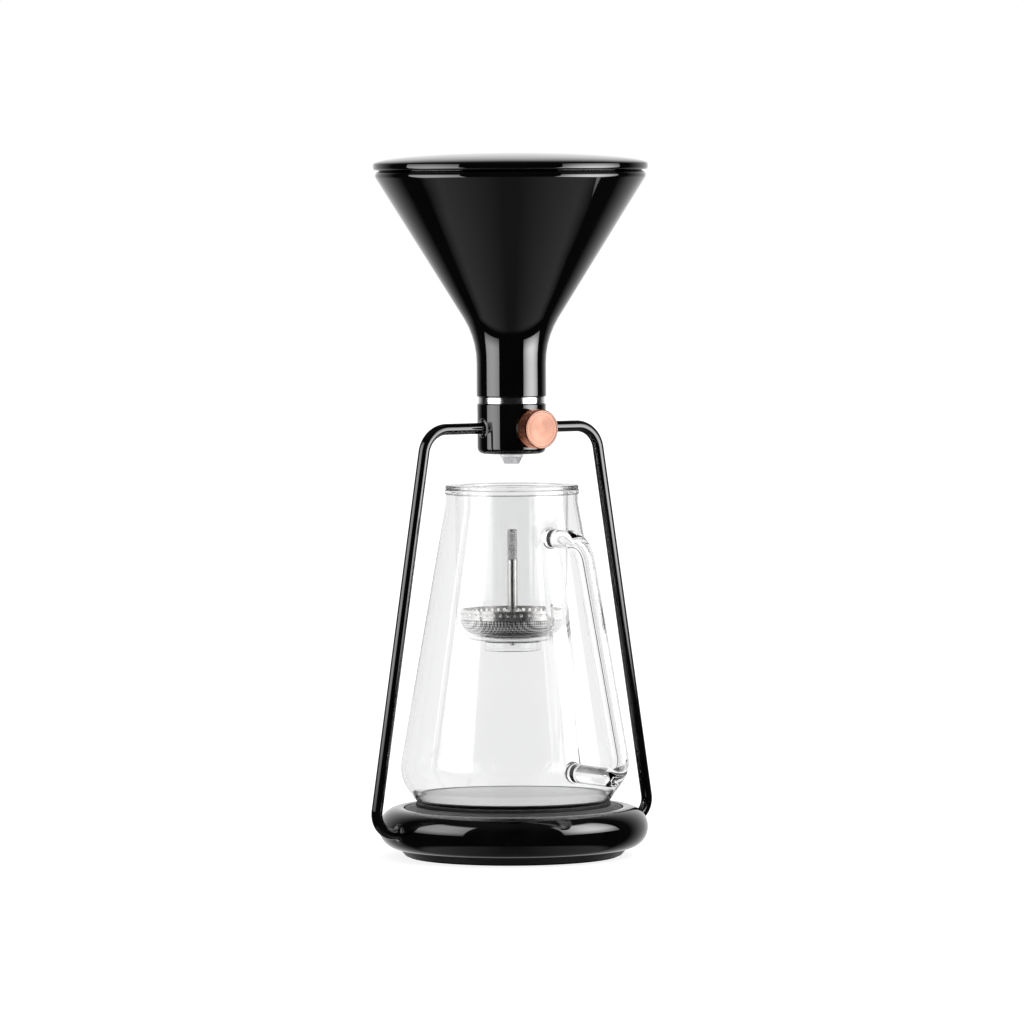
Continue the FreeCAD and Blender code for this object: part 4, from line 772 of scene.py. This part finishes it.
LEG_ROOT, SHOULDER, KNEE, LEG_END = 14.55, 53.0, 87.2, 68.4  # distances from the axis
SHOULDER_BEND, KNEE_BEND = 14.0, 11.0  # radii
leg_path = [
    (LEG_ROOT, KNOB_AXIS), (SHOULDER, KNOB_AXIS, SHOULDER_BEND), (KNEE, RING_Z, KNEE_BEND), (LEG_END, RING_Z)
]
for side, way in (("right", 1), ("left", -1)):
    leg = rod(f"wire_{side}", leg_path, WIRE, 48, leg_plane(way))
    dress(leg, "stand", "black_enamel", f"{side}_leg")

# %% Weld beads
def valve_face(y, z):
    return np.sqrt(VALVE_RADIUS**2 - y**2)


def ring_face(y, z):
    return np.sqrt((RING_CIRCLE + np.sqrt(RING_TUBE**2 - (z - RING_Z) ** 2)) ** 2 - y**2)


def bead(face, height, way, phase):
    """Rows go round the wire. A column runs over a hollow curve to the carrier's face, and back behind it.
    Out of the face the curve is (1-t)^2 * along, away from the wire it is t^2 * across, and both reaches
    waver with the angle."""
    angle = around(96)[:, None]
    waver = 0.5 * np.sin(3 * angle + phase) + 0.35 * np.sin(8 * angle + 2 * phase)
    along = 2.1 + 0.35 * waver
    across = 2.3 + 0.3 * waver + 0.16 * np.sin(17 * angle)
    foot = np.full_like(angle, WIRE)
    t = np.linspace(0, 1, 9)[None, :]

    def carrier(far):
        return face(far * np.sin(angle), height + far * np.cos(angle))

    far = WIRE - 0.03 + t**2 * across
    out = carrier(foot) * (1 - t**2) + carrier(foot + across) * t**2 + (1 - t) ** 2 * along + 0.02
    back_out = [carrier(foot + across) - 0.8, carrier(foot) - 0.8, out[:, :1]]
    far = np.concatenate([far, foot + across, foot - 0.5, foot - 0.5], 1)
    out = np.concatenate([out, *back_out], 1)
    grid = np.stack([way * out, far * np.sin(angle), height + far * np.cos(angle)], axis=-1)
    if way > 0:
        grid = grid[:, ::-1]
    ahead = np.roll(grid, -1, 0) - np.roll(grid, 1, 0)
    beside = np.roll(grid, -1, 1) - np.roll(grid, 1, 1)
    return grid, unit(np.cross(beside, ahead))


welds = []
for name, face, height in (("valve", valve_face, KNOB_AXIS), ("ring", ring_face, RING_Z)):
    for side, way in (("right", 1), ("left", -1)):
        grid, facing = bead(face, height, way, len(welds) * 1.9)
        welds.append(skin(f"weld_{name}_{side}", grid, facing, ring=True))
dress(welds[0], "stand", "black_enamel", "weld_beads")
for weld in welds[1:]:
    dress(weld, "stand", "black_enamel")

# %% [markdown]
# ## The base ring and the scale's platform
#
# The base is a ring of round section, enamelled like the wires. Inside it lies the platform of the scale,
# a matte disc with a bevelled rim, and a thin silicone mat on it. The gap between ring and platform is
# real: it lets the platform move, and it catches a thin line of light.

# %% Base ring
RING_BORE, LEDGE_BORE, LEDGE_HIGH = 58.9, 48.5, 6.1
top_turn = math.acos((RING_BORE - RING_CIRCLE) / RING_TUBE)
section = [
    (RING_CIRCLE + RING_TUBE * math.cos(a), RING_Z + RING_TUBE * math.sin(a), 0)
    for a in np.linspace(-math.pi / 2 + 0.06, top_turn - 0.04, 72)
]
ring_bottom, ring_top = RING_Z - RING_TUBE, RING_Z + RING_TUBE * math.sin(top_turn)
ring = turned(
    "base_torus",
    [(LEDGE_BORE, ring_bottom), (RING_CIRCLE, ring_bottom, 0), *section, (RING_BORE, ring_top, 0.25),
     (RING_BORE, ring_bottom + LEDGE_HIGH), (LEDGE_BORE, ring_bottom + LEDGE_HIGH)],
    columns=256,
)
dress(ring, "stand", "black_enamel", "base_ring")

# %% Platform and its mat
PLATE, PLATE_FLAT, PLATE_HOLLOW, MAT = 58.2, 54.6, 56.0, 52.2  # radii
SKIRT_FOOT, PLATE_CEILING, BEVEL_START, PLATE_TOP, MAT_TOP = 17.0, 25.1, 26.0, 27.3, 28.97
platform = turned(
    "scale_plate",
    [(0, PLATE_CEILING), (PLATE_HOLLOW, PLATE_CEILING), (PLATE_HOLLOW, SKIRT_FOOT, 0.3),
     (PLATE, SKIRT_FOOT, 0.5), (PLATE, BEVEL_START, 0.5), (PLATE_FLAT, PLATE_TOP, 0.6), (0, PLATE_TOP)],
)
dress(platform, "stand", "black_plastic", "platform")
mat_foot = PLATE_TOP + 0.01
mat = turned(
    "scale_mat", [(0, mat_foot), (MAT, mat_foot, 0.2), (MAT, MAT_TOP, 0.5), (0, MAT_TOP)],
)
dress(mat, "stand", "black_silicone", "platform_pad")

# %% [markdown]
# ## The pitcher
#
# The pitcher is blown: one wall of even thickness, from the foot over a low belly to a straight neck and a
# beaded rim. So its inside is the outside, set in by the wall. The handle is a solid glass rod that was
# bent and melted on, and where it touched, it spread. The rod's radius therefore grows towards both ends,
# and its last ring is pressed onto the curved wall. A Boolean joins the two, because two glasses that only
# overlap would show a skin between them.

# %% Pitcher
WALL = 2.2
FOOT, BELLY, THROAT = 51.2, 61.45, 35.4  # radii
FOOT_Z, BELLY_Z, THROAT_Z, BEAD_Z, RIM_Z = 29.0, 42.6, 189.8, 194.4, 196.9
pitcher_out = [(0, FOOT_Z), (FOOT, FOOT_Z, 3.0), (BELLY, BELLY_Z, 20.0), (THROAT, THROAT_Z, 12.0)]


def set_in(corners, wall):
    """Each corner moves inwards to where its two lines meet when both are shifted by the wall."""
    spots = np.array([c[:2] for c in corners], float)
    ways = unit(np.diff(spots, axis=0))
    inward = np.stack([-ways[:, 1], ways[:, 0]], axis=1)
    mean = inward[:-1] + inward[1:]
    shift = mean * (wall / (1 + np.sum(inward[:-1] * inward[1:], axis=1)))[:, None]
    return spots[1:-1] + shift


inner = set_in([*pitcher_out, (THROAT, RIM_Z)], WALL).tolist()
inside = [(*corner, radius) for corner, radius in zip(inner, (2.3, 17.8, 14.2))]
pitcher = turned(
    "glass_jug",
    [*pitcher_out, (THROAT, BEAD_Z, 0.45), (THROAT + 0.6, BEAD_Z, 0.45), (THROAT + 0.6, RIM_Z, 0.9),
     (THROAT - WALL, RIM_Z, 0.7), *inside[::-1], (0, FOOT_Z + WALL)],
    columns=256,
)

# %% Handle
ROD = 5.0
TOP_Z, LOW_Z = 171.9, 48.6
ROOT, TOP_REACH, LOW_REACH = -26.0, -69.4, -107.9  # places along Y
SINK = 0.9  # mm that the rod's last ring lies inside the wall
outside = outline([*pitcher_out, (THROAT, BEAD_Z)])[0]
handle_path = [(ROOT, TOP_Z), (TOP_REACH, TOP_Z, 16.0), (LOW_REACH, LOW_Z, 9.0), (ROOT, LOW_Z)]


def wall_radius(height):
    """The jug's outer radius at a height, read from its own outline."""
    return np.interp(height, outside[:, 1], outside[:, 0])


def handle_rod(name, columns=64):
    """The rod from its foot on the upper wall to its foot on the lower wall. Near a foot the radius is
    rod + spread * (1 - distance / reach)^3, and the last ring lies on the middle of the wall."""
    starts = [SINK - wall_radius(z) for z in (TOP_Z, LOW_Z)]
    reach, spread_by = 5.5, 1.5
    far = np.array([0, 0.5, 1.0, 1.6, 2.3, 3.1, 4.0, 5.0, 6.2])
    inner_far, edge = far[:-1], far[-1]
    path, side = outline([(starts[0] - edge, TOP_Z), *handle_path[1:3], (starts[1] - edge, LOW_Z)])
    root_top = np.stack([starts[0] - inner_far, np.full(len(inner_far), TOP_Z)], axis=1)
    root_low = np.stack([starts[1] - inner_far[::-1], np.full(len(inner_far), LOW_Z)], axis=1)
    path = np.concatenate([root_top, path, root_low])
    side = np.pad(side, ((len(inner_far),) * 2, (0, 0)), mode="edge")
    gone = np.minimum(np.hypot(*(path - path[0]).T), np.hypot(*(path - path[-1]).T))
    thick = ROD + spread_by * np.clip(1 - gone / reach, 0, 1) ** 3
    angle = around(columns)
    flat = np.repeat(-np.sin(angle)[None], len(path), axis=0)
    facing = np.stack([flat, side[:, :1] * np.cos(angle), side[:, 1:] * np.cos(angle)], axis=-1)
    centre = np.stack([np.zeros(len(path)), path[:, 0], path[:, 1]], axis=1)
    rows = centre[:, None] + thick[:, None, None] * facing
    for foot, order in zip(starts, (range(len(inner_far)), range(-1, -1 - len(inner_far), -1))):
        for distance, index in zip(inner_far, order):
            ring = rows[index]
            on_wall = -np.sqrt((wall_radius(ring[:, 2]) - SINK) ** 2 - ring[:, 0] ** 2)
            ring[:, 1] += (1 - distance / edge) * (on_wall - foot)
    ends = rows[[0, -1]].mean(axis=1, keepdims=True).repeat(columns, axis=1)
    rows = np.concatenate([ends[:1], rows, ends[1:]])
    facing = np.concatenate([facing[:1], facing, facing[-1:]])
    return skin(name, rows, facing)


cut(pitcher, handle_rod("handle_tool"), "UNION")
dress(pitcher, "pitcher", "clear_glass", "pitcher")

# %% [markdown]
# ## The drip insert
#
# The insert is a second, thinner glass that hangs in the pitcher's mouth by its flange. Its underside has
# a short outlet. It rests on the rim, so its flange is set a few hundredths above: two glass faces at the
# very same place would flicker in the render.

# %% Drip insert
SEAT_GAP = 0.03
CUP, CUP_INSIDE, FLANGE, OUTLET, OUTLET_BORE = 30.2, 28.4, 35.7, 15.0, 13.2  # radii
OUTLET_FOOT, CUP_FOOT, FLANGE_TOP = 110.2, 115.8, 198.9
flange_foot, cup_floor = RIM_Z + SEAT_GAP, CUP_FOOT + 1.8 - SEAT_GAP
insert = turned(
    "glass_insert",
    [(OUTLET_BORE, OUTLET_FOOT, 0.6), (OUTLET, OUTLET_FOOT, 0.6), (OUTLET, CUP_FOOT, 1.2),
     (CUP, CUP_FOOT, 11.0), (CUP, flange_foot, 2.6), (FLANGE, flange_foot, 0.45),
     (FLANGE, FLANGE_TOP, 0.9), (CUP_INSIDE, FLANGE_TOP, 1.0), (CUP_INSIDE, cup_floor, 9.2),
     (OUTLET_BORE, cup_floor, 1.2)],
)
dress(insert, "insert", "clear_glass", "drip_insert")

# %% [markdown]
# ## The filter
#
# A dish of woven steel under a cup of thin sheet with a row of holes, and a stem to lift it out by. The
# cup comes from the construction model, holes and all. The dish gets a smooth round bottom. The stem's
# end has a diamond knurl: two sets of grooves that wind round it in opposite directions.

# %% Mesh dish
PIN = 1.6  # the stem's radius where it goes through the dish
DISH, DISH_WALL, DISH_FOOT, DISH_TOP = 27.8, 0.6, 118.6, 127.4
dish = turned(
    "mesh_dish",
    [(PIN, DISH_FOOT), (DISH, DISH_FOOT, 8.6), (DISH, DISH_TOP), (DISH - DISH_WALL, DISH_TOP),
     (DISH - DISH_WALL, DISH_FOOT + DISH_WALL, 8.0), (PIN, DISH_FOOT + DISH_WALL)],
)
dress(dish, "filter", "steel_mesh", "filter_mesh")

# %% Stem and collar
STEM, STEM_FOOT, STEM_TOP = 2.85, 112.8, 167.7
COLLAR, COLLAR_FOOT, COLLAR_TOP = 4.85, 128.2, 131.9
GRIP_FOOT, GRIP_PIN = 158.7, 1.5
stem = turned(
    "stem_rod",
    [(0, STEM_FOOT), (PIN, STEM_FOOT, 0.35), (PIN, COLLAR_TOP), (STEM, COLLAR_TOP, 0.2),
     (STEM, GRIP_FOOT, 0.3), (GRIP_PIN, GRIP_FOOT), (GRIP_PIN, STEM_TOP, 0.2), (0, STEM_TOP)],
    columns=96,
)
dress(stem, "filter", "polished_steel", "filter_stem")
collar = turned(
    "stem_foot",
    [(PIN, COLLAR_FOOT), (COLLAR, COLLAR_FOOT, 0.3), (COLLAR, COLLAR_TOP, 0.6), (PIN, COLLAR_TOP)],
    columns=96,
)
dress(collar, "filter", "polished_steel", "stem_collar")

# %% Knurled grip
def grip_surface(name):
    """Radius = outline radius - depth * the larger of two grooves that wind round in opposite directions:
    |cos(n a / 2 + k z)| and |cos(n a / 2 - k z)|, each raised to a power so that its ridge is broad."""
    starts, climb_by, depth, columns = 22, 2.9, 0.14, 176
    foot, shoulder = GRIP_FOOT, 174.5
    levels = np.concatenate(
        [[foot, foot + 0.02, foot + 0.3], np.arange(foot + 0.4, shoulder - 0.1, 0.12), [shoulder]]
    )
    arc = np.linspace(0, math.pi / 2, 5)
    radius = np.concatenate([np.full(len(levels), 2.6), 2.1 + 0.5 * np.cos(arc), [0.0]])
    radius[0] = 2.5
    height = np.concatenate([levels, shoulder + 0.5 * np.sin(arc), [shoulder + 0.5]])
    angle = around(columns)[None, :]
    twist = climb_by * (height[:, None] - foot)
    grooves = np.maximum(
        np.abs(np.cos(starts * angle / 2 + twist)) ** 6, np.abs(np.cos(starts * angle / 2 - twist)) ** 6
    )
    fade = np.clip((height - foot - 0.2) / 0.3, 0, 1) * np.clip((shoulder - 0.1 - height) / 0.3, 0, 1)
    r = radius[:, None] - depth * fade[:, None] * grooves
    rows = np.stack([r * np.cos(angle), r * np.sin(angle), np.repeat(height[:, None], columns, 1)], -1)
    rows = np.concatenate([rows[:1] * np.array([0, 0, 1.0]), rows])
    along = np.gradient(rows, axis=0)
    beside = np.roll(rows, -1, 1) - np.roll(rows, 1, 1)
    normals = np.cross(beside, along)
    normals[0], normals[-1] = (0, 0, -1), (0, 0, 1)
    return skin(name, rows, unit(normals))


dress(grip_surface("stem_knurl"), "filter", "knurled_steel", "stem_grip")

# %% [markdown]
# ## The pieces of the construction model that stay
#
# Screws, seals, the load cell, the circuit board and the cover are right as they are. They keep their own
# meshes and only get the finish of their slot. The table below names the slot of each of them.

# %% Finishes for the other nodes
kept_nodes = {
    "black_enamel": ["packing_nut"],
    "black_plastic": ["bottom_cover", "battery_door", "battery_holder"],
    "black_silicone": ["base_mat", "funnel_seal", "filter_seal", "spindle_seals", "power_button"],
    "polished_steel": ["filter_cup", "stem_washer", "stem_nut", "valve_spindle", "coin_cells"],
    "sheet_steel": ["chassis_plate", "cover_screws", "chassis_screws", "board_screws",
                    "load_cell_screws", "knob_set_screw"],
    "aluminium": ["load_cell", "platform_carrier", "load_cell_spacers"],
    "board_green": ["circuit_board"],
}
for slot, names in kept_nodes.items():
    for name in names:
        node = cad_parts[name]
        node.data.materials.clear()
        node.data.materials.append(finishes[slot])
        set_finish(node, slot)
bare = [n for n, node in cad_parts.items() if not node.hide_render and "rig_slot" not in node]
print("nodes with a finish of their own:", sum(map(len, kept_nodes.values())), "without:", bare)

# %% [markdown]
# ## The studio
#
# Black gloss is lit by what it mirrors: a broad softbox stands at the right, a narrow one at the left, and
# the room in front stays dim. Both are sheets that only gloss and glass see. The copper knob would burn
# out in them, so it has a milder panel of its own. Matte surfaces are lit by the world and one soft lamp,
# at a plain level. Glass needs a bright field all round, and steel behind glass needs dark to mirror, so
# the world answers each kind of ray in its own way.

# %% Softboxes
SEEN_THROUGH = 2.2
END_FADE = 0.088  # metres over which the cloth dims towards its two ends
STRIPS = 48


def stage_material(name):
    material = bpy.data.materials.new(name)
    material.use_nodes = True
    material.node_tree.nodes.clear()
    return material, material.node_tree, material.node_tree.nodes.new("ShaderNodeOutputMaterial")


def sheet(name, from_angle, to_angle, distance, low, high):
    """A sheet of a cylinder round the object, with u along its turn and v up its height."""
    turn = np.radians(np.linspace(from_angle, to_angle, STRIPS + 1))
    a, z = np.meshgrid(turn, np.array([low, high]), indexing="ij")
    points = np.stack([distance * np.cos(a), distance * np.sin(a), z], axis=-1).reshape(-1, 3)
    faces = np.arange(STRIPS)[:, None] * 2 + np.array([[0, 1, 3, 2]])
    mesh = bpy.data.meshes.new(name)
    mesh.from_pydata(points.tolist(), [], faces.tolist())
    u, v = np.repeat(np.linspace(0, 1, STRIPS + 1), 2), np.tile([0.0, 1.0], STRIPS + 1)
    corner = faces.ravel()
    layer = mesh.uv_layers.new(name="cloth")
    layer.data.foreach_set("uv", np.stack([u[corner], v[corner]], 1).astype(np.float32).ravel())
    piece = bpy.data.objects.new(name, mesh)
    bpy.context.scene.collection.objects.link(piece)
    piece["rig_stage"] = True
    return piece


def softbox(name, angles, levels, strength, rim, foot=1.0, head=1.0, distance=0.35):
    """Angles in degrees from +X, heights in metres. The cloth is brightest down its middle and falls to
    rim times that at its two sides, and it goes from foot to head times that up its height. Light that
    comes through glass is held to SEEN_THROUGH."""
    piece = sheet(name, *angles, distance, *levels)
    material, tree, out = stage_material(name + "_light")
    cloth = tree.nodes.new("ShaderNodeUVMap")
    cloth.uv_map = "cloth"
    u, v = parts(tree, cloth.outputs[0])[:2]
    across = spread(tree, sums(tree, "SINE", sums(tree, "MULTIPLY", u, math.pi)), rim, 1.0, 0.0, 1.0)
    near_end = sums(tree, "MINIMUM", v, sums(tree, "SUBTRACT", 1.0, v))
    ends = spread(tree, near_end, 0.3, 1.0, 0.0, END_FADE / (levels[1] - levels[0]))
    upright = sums(tree, "MULTIPLY", ends, spread(tree, v, foot, head, 0.0, 1.0))
    rays = tree.nodes.new("ShaderNodeLightPath").outputs
    power = choose(tree, rays["Is Transmission Ray"], SEEN_THROUGH, strength)
    glow = tree.nodes.new("ShaderNodeEmission")
    feed(tree, sums(tree, "MULTIPLY", sums(tree, "MULTIPLY", across, upright), power), glow.inputs[1])
    feed(tree, glow.outputs[0], out.inputs[0])
    piece.data.materials.append(material)
    for ray in ("camera", "diffuse", "volume_scatter", "shadow"):
        setattr(piece, f"visible_{ray}", False)
    return piece


softbox_right = softbox("softbox_right", (-82.2, -27.0), (0.07, 0.45), 8.0, 0.3, 1.3, 0.78)
softbox_left = softbox("softbox_left", (-209.9, -161.4), (0.06, 0.45), 4.4, 0.7)


def light_only(source, pieces, state):
    """Light linking: the source lights only these pieces, or all but these."""
    chosen = bpy.data.collections.new(source.name + "_" + state.lower())
    for piece in pieces:
        chosen.objects.link(piece)
    for entry in chosen.collection_objects:
        entry.light_linking.link_state = state
    source.light_linking.receiver_collection = chosen


# %% The knob's own light
for source in (softbox_right, softbox_left):
    light_only(source, [knob], "EXCLUDE")
PANEL_WIDE, PANEL_HIGH, PANEL_AWAY, PANEL_RADIANCE = 0.15, 0.5, 0.3, 1.45
panel = bpy.data.objects.new("knob_panel", bpy.data.lights.new("knob_panel", "AREA"))
panel.data.shape, panel.data.size, panel.data.size_y = "RECTANGLE", PANEL_WIDE, PANEL_HIGH
panel.data.energy = PANEL_RADIANCE * math.pi * PANEL_WIDE * PANEL_HIGH
toward = math.radians(-58.0)
panel.location = (PANEL_AWAY * math.cos(toward), PANEL_AWAY * math.sin(toward), KNOB_AXIS * MM)
panel.rotation_euler = (math.pi / 2, 0, toward + math.pi / 2)
bpy.context.scene.collection.objects.link(panel)
light_only(panel, [knob], "INCLUDE")

# %% Room light
world = bpy.data.worlds.new("studio")
world.cycles.sampling_method = "NONE"
bpy.context.scene.world = world
world.use_nodes = True
tree = world.node_tree
tree.nodes.clear()
rays = tree.nodes.new("ShaderNodeLightPath").outputs
heading = tree.nodes.new("ShaderNodeTexCoord").outputs["Generated"]
BACKDROP = (math.sin(math.radians(32)), math.cos(math.radians(32)), 0.0)
SIDEWAYS = (BACKDROP[1], -BACKDROP[0], 0.0)


def facing(direction):
    """How far the ray heads in that direction, from -1 to 1."""
    node = tree.nodes.new("ShaderNodeVectorMath")
    node.operation = "DOT_PRODUCT"
    feed(tree, heading, node.inputs[0])
    node.inputs[1].default_value = direction
    return node.outputs["Value"]


behind, upwards = facing(BACKDROP), facing((0, 0, 1))
aside = sums(tree, "ABSOLUTE", facing(SIDEWAYS))
backdrop = sums(tree, "POWER", spread(tree, behind, 0.0, 1.0, 0.45, 1.0), 1.3)
below = spread(tree, upwards, 1.0, 0.0, -0.75, -0.66)
table = sums(tree, "MULTIPLY", below, spread(tree, aside, 0.1, 0.4, 0.1, 0.8))
ceiling = spread(tree, upwards, 0.0, 0.06, 0.5, 0.95)
in_mirrors = sums(tree, "MAXIMUM", backdrop, 0.015)
for other in (table, ceiling):
    in_mirrors = sums(tree, "MAXIMUM", in_mirrors, other)

# Steel inside the glass mirrors a dark camera side. What is only seen through glass is nearly white.
in_steel = spread(tree, behind, 0.05, 0.97, -0.9, -0.2)
mirrored = sums(tree, "GREATER_THAN", rays["Glossy Depth"], 0.5)
through_glass = choose(tree, mirrored, in_steel, 0.97)
level = choose(tree, rays["Is Glossy Ray"], in_mirrors, 0.6)
level = choose(tree, rays["Is Transmission Ray"], through_glass, level)
level = choose(tree, rays["Is Camera Ray"], 1.0, level)
sky = tree.nodes.new("ShaderNodeBackground")
sky.inputs["Color"].default_value = (1, 1, 1, 1)
feed(tree, level, sky.inputs["Strength"])
feed(tree, sky.outputs[0], tree.nodes.new("ShaderNodeOutputWorld").inputs[0])

# %% Lamp
lamp = bpy.data.objects.new("overhead_lamp", bpy.data.lights.new("overhead_lamp", "SUN"))
lamp.data.energy = 1.6
lamp.data.angle = math.radians(50)
lamp.rotation_euler = (math.radians(22), math.radians(18), 0)
lamp.visible_glossy = lamp.visible_transmission = False
bpy.context.scene.collection.objects.link(lamp)

# %% Floor
SIDE, FLOOR_Z = 6.0, -0.0003  # metres: the mat under the base just clears the floor
square = ((-1, -1), (1, -1), (1, 1), (-1, 1))
floor_mesh = bpy.data.meshes.new("floor")
floor_mesh.from_pydata([(x * SIDE, y * SIDE, FLOOR_Z) for x, y in square], [], [(0, 1, 2, 3)])
floor = bpy.data.objects.new("floor", floor_mesh)
bpy.context.scene.collection.objects.link(floor)
material, tree, out = stage_material("pale_floor")
rays = tree.nodes.new("ShaderNodeLightPath").outputs
white, paint = tree.nodes.new("ShaderNodeEmission"), tree.nodes.new("ShaderNodeBsdfDiffuse")
white.inputs[1].default_value = 0.85
paint.inputs[0].default_value = (0.45, 0.45, 0.45, 1)
lit = tree.nodes.new("ShaderNodeAddShader")
feed(tree, white.outputs[0], lit.inputs[0])
feed(tree, paint.outputs[0], lit.inputs[1])
mix = tree.nodes.new("ShaderNodeMixShader")
feed(tree, rays["Is Camera Ray"], mix.inputs[0])
feed(tree, paint.outputs[0], mix.inputs[1])
feed(tree, lit.outputs[0], mix.inputs[2])
feed(tree, mix.outputs[0], out.inputs[0])
floor_mesh.materials.append(material)
floor.visible_glossy = False
floor.visible_transmission = False
floor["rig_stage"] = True

# %% [markdown]
# ## The camera
#
# The photograph was taken from far away with a long lens, a little above the table and to the left of the
# knob: the knob is seen from its left, and the base ring opens by only a few degrees. The camera stands on
# that line, at a distance that gives the same slight perspective, and leans by a third of a degree.

# %% Camera
AZIMUTH = -32.0
DISTANCE = 3.6
HEIGHT = 0.36
AIM = (0.0, 0.0, 0.1843)
SCALE = 0.535  # mm to a pixel at the axis
ROLL = 0.28  # degrees
PIXELS = 1024
camera = bpy.data.objects.new("camera", bpy.data.cameras.new("camera"))
bpy.context.scene.collection.objects.link(camera)
camera.data.sensor_width = 36.0
turn = math.radians(AZIMUTH)
camera.location = (DISTANCE * math.sin(turn), -DISTANCE * math.cos(turn), HEIGHT)
sight = np.array(AIM) - np.array(camera.location)
camera.data.lens = camera.data.sensor_width * np.linalg.norm(sight) / (SCALE * MM * PIXELS)
tilt = math.atan2(sight[2], math.hypot(sight[0], sight[1]))
camera.rotation_euler = (math.pi / 2 + tilt, 0, math.atan2(-sight[0], sight[1]))
camera.rotation_euler.rotate_axis("Z", -math.radians(ROLL))
camera.data.clip_end = 50.0
bpy.context.scene.camera = camera
print("camera:", [round(v, 4) for v in camera.location], "lens", round(camera.data.lens, 1))

# %% Colours as they are written
scene = bpy.context.scene
scene.view_settings.view_transform = "Standard"
scene.cycles.max_bounces = 24
scene.cycles.transmission_bounces = 24
scene.cycles.transparent_max_bounces = 16

# %% Sizes, and the end
low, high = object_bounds()
grown = [round((a - b) / MM, 2) for a, b in zip([*cad_low, *high], [*low, *cad_high])]
print("grown by, mm:", grown)
